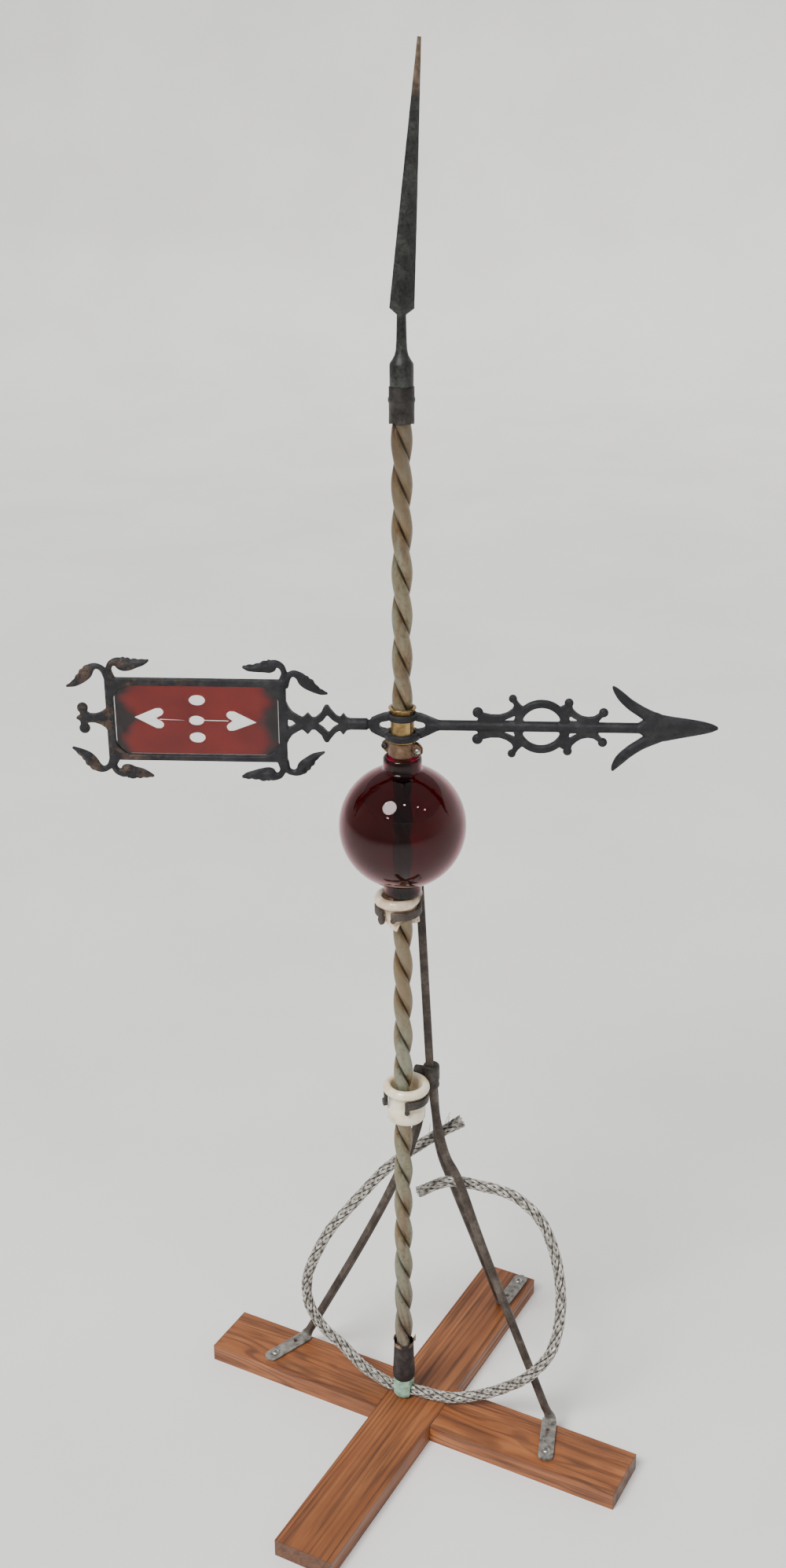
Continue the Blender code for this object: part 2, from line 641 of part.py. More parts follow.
def build_insulators(parts, cutters):
    """The whole lower insulator, and the upper one whose skirt is broken away at the front right."""
    lower = turned("insulator_lower", insulator_profile(), ROUND, parts, ring=True)
    finish(lower, PORCELAIN, (*LOWER_INSULATOR_AT, DECK + LOWER_LIP_TOP))
    upper = turned("insulator_upper", insulator_profile(), ROUND, parts, ring=True)
    foot = -INSULATOR_HEIGHT
    reach = 1.6 * SKIRT_RADIUS
    inside = 0.2 * SKIRT_RADIUS
    broken = [(x, foot + up) for x, up in BREAK_LINE]
    below = foot - 0.002
    broken = [(-reach, broken[0][1]), *broken, (reach, broken[-1][1]), (reach, below), (-reach, below)]
    front = extruded("break_front", [broken], 2 * reach, cutters, upright=True)
    front.location = (0.0, -reach - inside, 0.0)
    apply_transform(front)
    side_top = foot + BREAK_LINE[0][1]
    side = block("break_side", (reach, 2.4 * inside, side_top - below),
                 (-0.66 * SKIRT_RADIUS - reach / 2, 0.0, (side_top + below) / 2), cutters, 0.0)
    upper = cut(upper, [front, side])
    upper.rotation_euler = (0.0, UPPER_TILT, 0.0)
    apply_transform(upper)
    finish(upper, AGED_PORCELAIN, (*UPPER_INSULATOR_AT, DECK + UPPER_LIP_TOP))


def strap(name, centre, lip_top, gap, drop, knobs, collection):
    """Split iron strap round a waist: a finger at its front end and knobs at its left end."""
    high = DECK + lip_top - LIP_THICK - STRAP_UNDER_LIP
    low = high - STRAP_HEIGHT
    start = gap[1] - 2 * pi
    stop = gap[0]
    outline = arc((0, 0), STRAP_OUTER, start, stop, 14) + arc((0, 0), STRAP_INNER, stop, start, 14)
    band = extruded(name, [outline], STRAP_HEIGHT, collection)
    band.location = (*centre, (low + high) / 2)
    apply_transform(band)
    middle = (STRAP_INNER + STRAP_OUTER) / 2
    inset = FINGER_WIDTH / 2 / middle
    finger_at = (centre[0] + middle * cos(start + inset), centre[1] + middle * sin(start + inset),
                 (high - 0.001 + low - drop) / 2)
    finger = block(name + "_finger", (FINGER_WIDTH, STRAP_THICK - 0.0004, high - 0.001 - low + drop),
                   finger_at, collection, start + inset + pi / 2)
    knob_out = Vector((cos(stop - inset), sin(stop - inset), 0.0))
    lumps = [finger]
    for level in knobs:
        knob_at = Vector((*centre, low + level))
        lumps.append(rod_between(name + "_knob", knob_at + knob_out * (STRAP_INNER + 0.0003),
                                 knob_at + knob_out * (STRAP_OUTER + 0.0016 + 0.04 * abs(level)),
                                 KNOB_RADIUS, SMALL_ROUND, collection))
    return combine(band, lumps)


def strap_arm(name, centre, lip_top, target, collection):
    """The arm that joins a strap to what carries it."""
    high = DECK + lip_top - LIP_THICK - STRAP_UNDER_LIP
    out = Vector((target[0] - centre[0], target[1] - centre[1], 0.0))
    reach = out.length
    near = STRAP_INNER + STRAP_THICK / 2
    height = STRAP_HEIGHT - 0.0014
    middle = Vector((*centre, high - STRAP_HEIGHT / 2)) + out.normalized() * (near + reach) / 2
    return block(name, (reach - near, ARM_WIDTH, height), middle, collection, atan2(out.y, out.x))


def bar_points():
    """The climbing bar's ends: its foot in the collar and its top over the upper strap."""
    foot = Vector((COLLAR_AT[0] + BAR_FOOT_SHIFT, COLLAR_AT[1],
                   DECK + COLLAR_FOOT + COLLAR_HEIGHT - LEG_SOCKET_DEPTH + TOUCH))
    top = Vector((*BAR_TOP_AT, DECK + UPPER_LIP_TOP - LIP_THICK - STRAP_UNDER_LIP + BAR_ABOVE_STRAP))
    return foot, top


def leg_paths():
    """Centre line of each leg, from its socket in the bracket down to its foot plate."""
    low = DECK + COLLAR_FOOT
    boss_out = Vector((cos(BOSS_YAW), sin(BOSS_YAW), 0.0))
    boss = Vector((*COLLAR_AT, 0.0)) + boss_out * (BOSS_REACH - 0.75 * FLAT_LEG_SIDE)
    rear = (COLLAR_AT[0] + REAR_SOCKET_SHIFT[0], COLLAR_AT[1] + REAR_SOCKET_SHIFT[1])
    socket_top = low + LEG_SOCKET_DEPTH - TOUCH
    foot_z = DECK + TOUCH + PLATE_THICK / 2 + LEG_RISE
    tops = {"leg_left": (boss.x, boss.y, low + BOSS_LEVEL * COLLAR_HEIGHT),
            "leg_right": (COLLAR_AT[0] + 0.0014, COLLAR_AT[1], socket_top),
            "leg_back": (*rear, socket_top)}
    feet = {"leg_left": PLATE_LEG_A, "leg_right": PLATE_LEG_B, "leg_back": PLATE_LEG_C}
    paths = {}
    for name, bends in LEG_BENDS.items():
        top = Vector(tops[name])
        mouth = top - Vector((0.0, 0.0, LEG_SOCKET_DEPTH + 0.004))
        bent = catmull_rom([mouth, *bends, (*feet[name], foot_z)], LEG_STEPS)
        paths[name] = [top, *bent]
    return paths


def foot_plate(name, end, leg, collection, cutters):
    """Flat foot with a round outer end and two holes."""
    direction = Vector((end[0] - leg[0], end[1] - leg[1]))
    length = direction.length
    yaw = atan2(direction.y, direction.x)
    half = PLATE_WIDTH / 2
    outline = arc((length - half, 0.0), half, -pi / 2, pi / 2, 6) + \
        arc((0.0, 0.0), half, pi / 2, 3 * pi / 2, 4)
    plate = extruded(name, [outline], PLATE_THICK, collection)
    plate.location = (*leg, DECK + TOUCH + PLATE_THICK / 2)
    plate.rotation_euler = (0, 0, yaw)
    apply_transform(plate)
    holes = []
    for along in (length - HOLE_FROM_END, INNER_HOLE_SHARE * length):
        x = leg[0] + along * cos(yaw)
        y = leg[1] + along * sin(yaw)
        holes.append(rod_between(name + "_hole", (x, y, DECK - 0.002), (x, y, DECK + 0.02),
                                 PLATE_HOLE_RADIUS, SMALL_ROUND, cutters))
    return cut(plate, holes)


def build_legs(parts, cutters):
    """Three legs: a square one at the left, round ones at the right and the back."""
    feet = {"leg_left": (PLATE_END_A, PLATE_LEG_A), "leg_right": (PLATE_END_B, PLATE_LEG_B),
            "leg_back": (PLATE_END_C, PLATE_LEG_C)}
    for name, path in leg_paths().items():
        end, leg = feet[name]
        if name == "leg_left":
            bar = tube(name, path, FLAT_LEG_SIDE / sqrt(2), 0, parts, pi / 4)
        else:
            bar = tube(name, path, ROUND_LEG_RADIUS, 2, parts)
        plate = foot_plate(name + "_plate", end, leg, parts, cutters)
        finish(combine(bar, [plate]), RUSTY_IRON)

        x, y = screw_place(end, leg)
        seat = DECK + TOUCH + PLATE_THICK + TOUCH
        dome = [(0.0, SCREW_HEAD_HEIGHT), (0.75 * SCREW_HEAD_RADIUS, 0.75 * SCREW_HEAD_HEIGHT),
                (SCREW_HEAD_RADIUS, 0.0),
                (SCREW_SHANK_RADIUS, 0.0), (SCREW_SHANK_RADIUS, DECK - SCREW_DEPTH - seat),
                (0.0, DECK - SCREW_DEPTH - seat)]
        screw = turned(name.replace("leg", "foot_screw"), dome, SMALL_ROUND, parts)
        finish(screw, STEEL, (x, y, seat))


def build_bracket(parts, cutters):
    """Cast collar with its boss, rear socket and lower strap; then the bar with the upper strap."""
    low = DECK + COLLAR_FOOT
    high = low + COLLAR_HEIGHT
    collar = rod_between("bracket_collar", (*COLLAR_AT, low), (*COLLAR_AT, high), COLLAR_RADIUS, 12, parts)
    boss_out = Vector((cos(BOSS_YAW), sin(BOSS_YAW), 0.0))
    boss_at = Vector((*COLLAR_AT, low + BOSS_LEVEL * COLLAR_HEIGHT))
    boss = rod_between("boss", boss_at, boss_at + boss_out * BOSS_REACH, BOSS_RADIUS, 10, cutters)
    rear = (COLLAR_AT[0] + REAR_SOCKET_SHIFT[0], COLLAR_AT[1] + REAR_SOCKET_SHIFT[1])
    rear_lug = rod_between("rear", (*rear, low + 0.0005), (*rear, low + BOSS_LEVEL * COLLAR_HEIGHT),
                           REAR_SOCKET_RADIUS, 10, cutters)
    ring = strap("strap", LOWER_INSULATOR_AT, LOWER_LIP_TOP, (STRAP_GAP_FROM, STRAP_GAP_TO),
                 FINGER_DROP, (KNOB_LEVEL,), cutters)
    arm = strap_arm("arm", LOWER_INSULATOR_AT, LOWER_LIP_TOP, COLLAR_AT, cutters)
    collar = combine(collar, [boss, rear_lug, arm, ring])

    foot, top = bar_points()
    sockets = [tube("bar_socket", [foot - (top - foot).normalized() * TOUCH, foot.lerp(top, 0.3)],
                    BAR_SIDE / sqrt(2) + 0.0005, 0, cutters, pi / 4)]
    paths = leg_paths()
    for name, radius, resolution, tilt in (("leg_left", FLAT_LEG_SIDE / sqrt(2) + 0.0005, 0, pi / 4),
                                           ("leg_right", ROUND_LEG_RADIUS + BORE_SLACK, 2, 0.0),
                                           ("leg_back", ROUND_LEG_RADIUS + BORE_SLACK, 2, 0.0)):
        path = paths[name]
        lifted = [path[0] + (path[0] - path[1]).normalized() * TOUCH, *path[1:4]]
        sockets.append(tube(name + "_socket", lifted, radius, resolution, cutters, tilt))
    finish(cut(collar, sockets), BRACKET_IRON)

    bar = tube("upper_bar", [foot, foot.lerp(top, 0.5), top], BAR_SIDE / sqrt(2), 0, parts, pi / 4)
    strap_level = DECK + UPPER_LIP_TOP - LIP_THICK - STRAP_UNDER_LIP - STRAP_HEIGHT / 2
    share = (strap_level - foot.z) / (top.z - foot.z)
    joint = foot.lerp(top, share)
    arm = strap_arm("arm", UPPER_INSULATOR_AT, UPPER_LIP_TOP, (joint.x, joint.y), cutters)
    ring = strap("strap", UPPER_INSULATOR_AT, UPPER_LIP_TOP, (UPPER_GAP_FROM, UPPER_GAP_TO),
                 UPPER_FINGER_DROP, UPPER_KNOB_LEVELS, cutters)
    finish(combine(bar, [arm, ring]), RUSTY_IRON)


def build_ball(parts):
    """Hollow ball with a short open neck at each pole."""
    inner_radius = BALL_RADIUS - BALL_WALL
    neck_inner = BALL_NECK_RADIUS - BALL_WALL
    pole = BALL_RADIUS + BALL_NECK_RISE
    rim = 0.0010
    outer_start = atan2(BALL_NECK_RADIUS, sqrt(BALL_RADIUS ** 2 - BALL_NECK_RADIUS ** 2))
    inner_start = atan2(neck_inner, sqrt(inner_radius ** 2 - neck_inner ** 2))
    outer_angles = [outer_start + (pi - 2 * outer_start) * k / 10 for k in range(11)]
    inner_angles = [inner_start + (pi - 2 * inner_start) * k / 6 for k in range(7)]
    profile = [(BALL_NECK_RADIUS - rim, pole), (BALL_NECK_RADIUS, pole - rim)]
    profile += [(BALL_RADIUS * sin(a), BALL_RADIUS * cos(a)) for a in outer_angles]
    profile += [(BALL_NECK_RADIUS, rim - pole), (BALL_NECK_RADIUS - rim, -pole), (neck_inner, -pole)]
    profile += [(inner_radius * sin(a), -inner_radius * cos(a)) for a in inner_angles]
    profile += [(neck_inner, pole)]
    ball = turned("glass_ball", profile, BALL_SEGMENTS, parts, ring=True)
    finish(ball, BALL_GLASS, (0, 0, BALL_CENTRE))


def build_clamp(parts, cutters):
    """Two half shells with ears, drawn together by a screw at each side."""
    inner = ROD_RADIUS + BORE_SLACK
    outer = inner + CLAMP_WALL
    half_split = CLAMP_SPLIT / 2
    ear_out = outer + EAR_REACH
    opening = atan2(half_split, outer)
    shell_stop = atan2(half_split + EAR_THICK, outer)
    inner_stop = atan2(half_split, inner)
    outline = [(ear_out, half_split), (ear_out, half_split + EAR_THICK)]
    outline += arc((0, 0), outer, shell_stop, pi - shell_stop, 8)
    outline += [(-ear_out, half_split + EAR_THICK), (-ear_out, half_split),
                (-outer * cos(opening), half_split)]
    outline += arc((0, 0), inner, pi - inner_stop, inner_stop, 8)
    screw_at = outer + 0.55 * EAR_REACH
    level = CLAMP_HEIGHT / 2
    for name, turn in (("clamp_front", pi), ("clamp_back", 0.0)):
        shell = extruded(name, [outline], CLAMP_HEIGHT, parts)
        shell.location = (0, 0, level)
        apply_transform(shell)
        bore = CLAMP_SCREW_RADIUS + BORE_SLACK
        holes = []
        for x in (-screw_at, screw_at):
            holes.append(rod_between("screw_hole", (x, 0.0, level), (x, 2 * outer, level), bore,
                                     SMALL_ROUND, cutters))
        finish(cut(shell, holes), CLAMP_COPPER, (0, 0, CLAMP_FOOT), CLAMP_YAW + turn)
    seat = half_split + EAR_THICK + TOUCH
    for name, x in (("clamp_screw_right", screw_at), ("clamp_screw_left", -screw_at)):
        head = CLAMP_SCREW_HEAD
        shank = [(0.0, seat + 0.0021), (0.7 * head, seat + 0.0018), (head, seat + 0.0009), (head, seat),
                 (CLAMP_SCREW_RADIUS, seat), (CLAMP_SCREW_RADIUS, -seat - 0.0030),
                 (0.0, -seat - 0.0030)]
        screw = turned(name, shank, SMALL_ROUND, parts)
        screw.data.transform(Matrix.Translation((x, 0, level)) @ Matrix.Rotation(pi / 2, 4, "X"))
        finish(screw, STEEL, (0, 0, CLAMP_FOOT), CLAMP_YAW)


def build_hub_sleeve(parts, cutters):
    """Split brass sleeve with a flange at each end, on which the arrow turns."""
    inner = ROD_RADIUS + BORE_SLACK
    outer = inner + HUB_SLEEVE_WALL
    height = HUB_SLEEVE_TOP - HUB_SLEEVE_FOOT
    top_flange = HUB_BORE + TOP_FLANGE_LIP
    bottom_flange = HUB_BORE + BOTTOM_FLANGE_LIP
    profile = [(top_flange, height), (top_flange, height - FLANGE_THICK), (outer, height - FLANGE_THICK),
               (outer, FLANGE_THICK), (bottom_flange, FLANGE_THICK), (bottom_flange, 0.0),
               (inner, 0.0), (inner, height)]
    sleeve = turned("hub_sleeve", profile, ROUND, parts, ring=True)
    out = Vector((cos(SLEEVE_SLIT_YAW), sin(SLEEVE_SLIT_YAW), 0.0))
    slit = block("slit", (2 * outer, SLEEVE_SLIT, 3 * height),
                 out * outer * 1.4 + Vector((0, 0, height / 2)), cutters, SLEEVE_SLIT_YAW)
    finish(cut(sleeve, [slit]), BRASS, (0, 0, HUB_SLEEVE_FOOT))


def stroke(spine, left, right, samples=1):
    """Outline of a ribbon: a smooth spine with its own width on each side at each share of it."""
    path = [Vector(p) for p in spine]
    if samples > 1:
        path = [Vector((p.x, p.y)) for p in catmull_rom([(x, y, 0.0) for x, y in spine], samples)]
    lefts = []
    rights = []
    last = len(path) - 1
    for i, point in enumerate(path):
        ahead = path[min(i + 1, last)] - path[max(i - 1, 0)]
        side = Vector((-ahead.y, ahead.x)).normalized()
        share = i / last
        lefts.append(tuple(point + side * left(share)))
        rights.append(tuple(point - side * right(share)))
    return rights + lefts[::-1]


def blend_table(table, share):
    """Read a width between the (share, width) steps of a short table."""
    for (s0, w0), (s1, w1) in zip(table, table[1:]):
        if share <= s1:
            return w0 + (w1 - w0) * (share - s0) / (s1 - s0)
    return table[-1][1]


def leaf(name, root, neck, crest, tip, back_is_left, depth, collection):
    """An acanthus leaf: a stem that arches over and a blade with a scalloped inner edge."""
    root = Vector(root)
    neck = Vector(neck)
    crest = Vector(crest)
    tip = Vector(tip)
    blade = tip - crest
    sag = Vector((-blade.y, blade.x)) * (-0.05 if back_is_left else 0.05)
    spine = [root, neck, crest, crest.lerp(tip, 0.30) + sag, crest.lerp(tip, 0.64) + sag, tip]

    def back(share):
        return blend_table(LEAF_BACK, share)

    def edge(share):
        width = blend_table(LEAF_EDGE, share)
        if share > LEAF_BLADE_FROM:
            width *= 1.10 if round(share * LEAF_STEPS) % 2 else 0.80
        return width

    sides = (back, edge) if back_is_left else (edge, back)
    outline = stroke([tuple(p) for p in spine], *sides, samples=LEAF_STEPS // 5)
    return extruded(name, [outline], depth, collection, upright=True)


def mirrored(half):
    """Close a half outline, given from left to right over the axis, below it."""
    return half + [(x, -z) for x, z in half[::-1]]


def disc(name, centre, radius, depth, sides, collection):
    """A round knob that lies in the arrow's plane."""
    x, z = centre
    return rod_between(name, (x, -depth / 2, z), (x, depth / 2, z), radius, sides, collection)


def tail_frame(collection, cutters):
    """The glazed tail frame with a gusset in each corner, and the slot that its pane sits in."""
    left = FRAME_LEFT
    right = FRAME_LEFT + FRAME_WIDTH
    high = FRAME_CENTRE_HEIGHT + FRAME_HEIGHT / 2
    low = FRAME_CENTRE_HEIGHT - FRAME_HEIGHT / 2
    a = left + SIDE_BAR
    b = right - SIDE_BAR
    c = low + BOTTOM_RAIL
    d = high - TOP_RAIL
    g = GUSSET
    m = 0.42 * GUSSET
    outer = [(left, low), (right, low), (right, high), (left, high)]
    opening = [(a, c + g), (a + m, c + m), (a + g, c), (b - g, c), (b - m, c + m), (b, c + g),
               (b, d - g), (b - m, d - m), (b - g, d), (a + g, d), (a + m, d - m), (a, d - g)]
    frame = extruded("arrow_casting", [outer, opening], FRAME_DEPTH, collection, upright=True)
    pane_size, pane_at = pane_box()
    slot = [s + 2 * TOUCH for s in pane_size]
    return cut(frame, [block("pane_slot", slot, pane_at, cutters)])


def pane_box():
    """Size and centre of the pane in the arrow's own frame."""
    left = FRAME_LEFT + SIDE_BAR + PANE_GAP_SIDE
    right = FRAME_LEFT + FRAME_WIDTH - SIDE_BAR - PANE_GAP_SIDE
    low = FRAME_CENTRE_HEIGHT - FRAME_HEIGHT / 2 + BOTTOM_RAIL + PANE_GAP_BOTTOM
    high = FRAME_CENTRE_HEIGHT + FRAME_HEIGHT / 2 - TOP_RAIL - PANE_GAP_TOP
    return (right - left, PANE_THICK, high - low), ((left + right) / 2, 0.0, (low + high) / 2)


def frame_leaves(collection):
    """Two leaves at each corner of the frame: one reaches out, one lies along the rail."""
    left = FRAME_LEFT
    right = FRAME_LEFT + FRAME_WIDTH
    pieces = []
    for tag, corner_x, sign_x in (("left", left, -1), ("right", right, 1)):
        for level, sign_z in (("top", 1), ("bottom", -1)):
            corner_z = FRAME_CENTRE_HEIGHT + sign_z * FRAME_HEIGHT / 2

            def at(out, up):
                return (corner_x + sign_x * out, corner_z + sign_z * up)

            outward = sign_x * sign_z > 0
            name = "leaf_%s_%s" % (level, tag)
            out_tip, in_tip = LEAF_TIPS[level, tag]
            pieces.append(leaf(name + "_out", at(-0.0042, -0.0030), at(-0.0012, 0.0070),
                               at(0.0078, 0.0090), at(*out_tip), outward, LEAF_DEPTH, collection))
            pieces.append(leaf(name + "_in", at(-0.0038, -0.0026), at(-0.0052, 0.0092),
                               at(-0.0098, 0.0142), at(*in_tip), not outward,
                               LEAF_DEPTH - 0.0004, collection))
    return pieces


def finial(collection):
    """Three-lobed end on the left of the frame."""
    base = FRAME_LEFT + 0.002
    z = 0.0022
    stem = stroke([(base, z), (base - 0.0060, z), (base - 0.0120, z), (base - 0.0210, z)],
                  lambda s: 0.0100 - 0.0118 * s + 0.0052 * s * s,
                  lambda s: 0.0100 - 0.0118 * s + 0.0052 * s * s, samples=2)
    pieces = [extruded("finial", [stem], WEB_DEPTH, collection, upright=True)]
    for lean, reach in ((1, 0.0235), (-1, 0.0218)):
        lobe_at = Vector((base - reach, z + lean * 0.0092))
        neck = stroke([(base - 0.0135, z), tuple(lobe_at)], lambda s: 0.0030 + 0.0008 * s,
                      lambda s: 0.0030 + 0.0008 * s)
        depth = LEAF_DEPTH + 0.0002 * (lean + 1)
        pieces.append(extruded("finial_neck", [neck], depth, collection, upright=True))
        pieces.append(disc("finial_lobe", lobe_at, 0.0047, KNOB_DEPTH + 0.0002 * lean, 8, collection))
    tongue = [(base - 0.0170, z + 0.0024), (base - 0.0288, z), (base - 0.0170, z - 0.0024)]
    pieces.append(extruded("finial_tongue", [tongue], LEAF_DEPTH - 0.0006, collection, upright=True))
    return pieces


def tail_joint(collection):
    """The pierced web between the frame and the shaft: a triangle, a knuckle and an open diamond."""
    x = FRAME_LEFT + FRAME_WIDTH
    half = [(-0.0020, 0.0185), (0.0006, 0.0155), (0.0050, 0.0102), (0.0098, 0.0072), (0.0137, 0.0048),
            (0.0165, 0.0066), (0.0186, 0.0098), (0.0222, 0.0054), (0.0252, 0.0055), (0.0304, 0.0100),
            (0.0320, 0.0136), (0.0350, 0.0175), (0.0376, 0.0166), (0.0406, 0.0116), (0.0438, 0.0074),
            (0.0472, 0.0062), (0.0500, 0.0099), (0.0530, 0.0056), (0.0560, 0.0046)]
    outer = mirrored([(x + u, z) for u, z in half])
    triangle = [(x + 0.0012, 0.0041), (x + 0.0088, -0.0002), (x + 0.0012, -0.0045)]
    star = []
    for u, z in ((0.0270, 0.0), (0.0322, 0.0036), (0.0362, 0.0085), (0.0410, 0.0040), (0.0467, 0.0),
                 (0.0410, -0.0038), (0.0366, -0.0086), (0.0322, -0.0038)):
        star.append((x + u, z))
    return [extruded("tail_joint", [outer, triangle, star], WEB_DEPTH, collection, upright=True)]


def shafts(collection):
    """Round shaft from the tail joint to the hub and from the hub to the head."""
    left_end = FRAME_LEFT + FRAME_WIDTH + 0.0530
    groove = -0.0305
    near = 0.0240
    pieces = []
    for name, a, b, radius in (("shaft_tail", left_end, groove - 0.0008, SHAFT_RADIUS),
                               ("shaft_groove", groove - 0.0012, groove + 0.0012, SHAFT_RADIUS - 0.0006),
                               ("shaft_inner", groove + 0.0008, -near, SHAFT_RADIUS + 0.0001),
                               ("shaft_head", near, 0.2180, SHAFT_RADIUS)):
        pieces.append(rod_between(name, (a, 0, 0), (b, 0, 0), radius, 8, collection))
    return pieces


def ornament(collection):
    """Ring about the shaft between two scrolled bodies with round knobs."""
    pieces = [extruded("ring", [arc((RING_AT, 0), RING_OUTER, 0, 2 * pi, 23)[:-1],
                                arc((RING_AT, 0), RING_INNER, 0, 2 * pi, 19)[:-1]], RING_DEPTH, collection,
                       upright=True)]
    left_half = [(0.0655, 0.0046), (0.0668, 0.0094), (0.0705, 0.0117), (0.0769, 0.0104), (0.0850, 0.0102),
                 (0.0912, 0.0124), (0.0955, 0.0158), (0.0968, 0.0200), (0.0948, 0.0236), (0.0990, 0.0248),
                 (0.1018, 0.0206), (0.1045, 0.0184), (0.1052, 0.0046)]
    right_half = [(0.1370, 0.0046), (0.1376, 0.0180), (0.1418, 0.0206), (0.1440, 0.0226), (0.1474, 0.0208),
                  (0.1484, 0.0164), (0.1520, 0.0128), (0.1560, 0.0102), (0.1618, 0.0090), (0.1672, 0.0100),
                  (0.1716, 0.0134), (0.1748, 0.0116), (0.1720, 0.0084), (0.1700, 0.0046)]
    left_holes = [[(0.0862, 0.0048), (0.0975, 0.0048), (0.0985, 0.0104)]]
    right_holes = [[(0.1452, 0.0108), (0.1458, 0.0050), (0.1550, 0.0050)]]
    for name, half, holes in (("scroll_left", left_half, left_holes),
                              ("scroll_right", right_half, right_holes)):
        outlines = [mirrored(half)]
        for hole in holes:
            outlines += [hole, [(x, -z) for x, z in hole]]
        pieces.append(extruded(name, outlines, WEB_DEPTH, collection, upright=True))
    knobs = [(0.0656, 0.0124, 0.0048), (0.0958, 0.0256, 0.0037), (0.1445, 0.0226, 0.0040),
             (0.1746, 0.0138, 0.0042)]
    for x, z, radius in knobs:
        for sign in (1, -1):
            pieces.append(disc("knob", (x, sign * z), radius, KNOB_DEPTH, 8, collection))
    return pieces


def arrow_head(collection):
    """Solid point with two swept barbs."""
    def barb_half(share):
        return blend_table(BARB_HALF, share)

    body = [(0.2080, 0.0048), (0.2190, 0.0135), (0.2285, 0.0102), (0.2407, 0.0088), (0.2586, 0.0067),
            (0.2682, 0.0048), (0.2728, 0.0024), (0.2745, 0.0)]
    outline = body + [(x, -z) for x, z in body[-2::-1]]
    pieces = [extruded("head", [outline], HEAD_DEPTH, collection, upright=True)]
    for sign, lean in ((1, 0.0), (-1, 0.0016)):
        spine = [(0.2230, sign * 0.0060), (0.2075, sign * 0.0145), (0.1955, sign * (0.0225 + lean)),
                 (0.1880, sign * (0.0300 + lean)), (0.1822, sign * (0.0382 + lean))]
        barb = stroke(spine, barb_half, barb_half, samples=2)
        depth = HEAD_DEPTH - 0.0012 - 0.0002 * sign
        pieces.append(extruded("barb", [barb], depth, collection, upright=True))
    return pieces


def hub(collection):
    """Two rings round the brass sleeve, carried by a web that runs into the shaft at both sides."""
    lower_radius = HUB_BORE + LOWER_RING_WALL
    upper_radius = HUB_BORE + UPPER_RING_WALL
    top = UPPER_RING_FOOT + RING_HEIGHT
    low = LOWER_RING_TOP - RING_HEIGHT
    outline = [(-0.0350, 0.0024), (-0.0290, 0.0048), (-0.0220, 0.0080), (-upper_radius, top - 0.0004),
               (upper_radius, top - 0.0004), (0.0220, 0.0080), (0.0290, 0.0048), (0.0350, 0.0024),
               (0.0350, -0.0024), (0.0300, -0.0046), (0.0240, -0.0076),
               (lower_radius - 0.0010, low + 0.0016),
               (0.0010 - lower_radius, low + 0.0016), (-0.0240, -0.0076), (-0.0300, -0.0046),
               (-0.0350, -0.0024)]
    web = extruded("hub_web", [outline[::-1]], HUB_DEPTH, collection, upright=True)
    half = (UPPER_RING_FOOT - LOWER_RING_TOP) / 2
    level = (UPPER_RING_FOOT + LOWER_RING_TOP) / 2
    window = arc((WINDOW_REACH - half, level), half, -pi / 2, pi / 2, 6) + \
        arc((half - WINDOW_REACH, level), half, pi / 2, 3 * pi / 2, 6)
    opening = extruded("window", [window], 4 * lower_radius, collection, upright=True)
    upper = rod_between("upper_ring", (0, 0, UPPER_RING_FOOT), (0, 0, top), upper_radius, ROUND, collection)
    lower = rod_between("lower_ring", (0, 0, low), (0, 0, LOWER_RING_TOP), lower_radius, ROUND, collection)
    return combine(cut(web, [opening]), [upper, lower])


def build_arrow(parts, cutters):
    """The cast arrow as one body, and the glass pane in its tail."""
    vane = bpy.data.objects.new("vane_axis", None)
    parts.objects.link(vane)
    vane.location = (0, 0, HUB_HEIGHT)
    vane.rotation_euler = (0, 0, VANE_YAW)
    casting = tail_frame(parts, cutters)
    pieces = frame_leaves(cutters) + finial(cutters) + tail_joint(cutters) + shafts(cutters)
    pieces += ornament(cutters) + arrow_head(cutters) + [hub(cutters)]
    casting = combine(casting, pieces)
    low = 2 * LOWER_RING_TOP - 2 * RING_HEIGHT
    bore = rod_between("hub_bore", (0, 0, low), (0, 0, -low), HUB_BORE, ROUND + 4, cutters)
    casting = cut(casting, [bore])
    finish(casting, CAST_IRON).parent = vane
    size, centre = pane_box()
    pane = block("glass_pane", size, centre, parts)
    finish(pane, PANE_GLASS).parent = vane


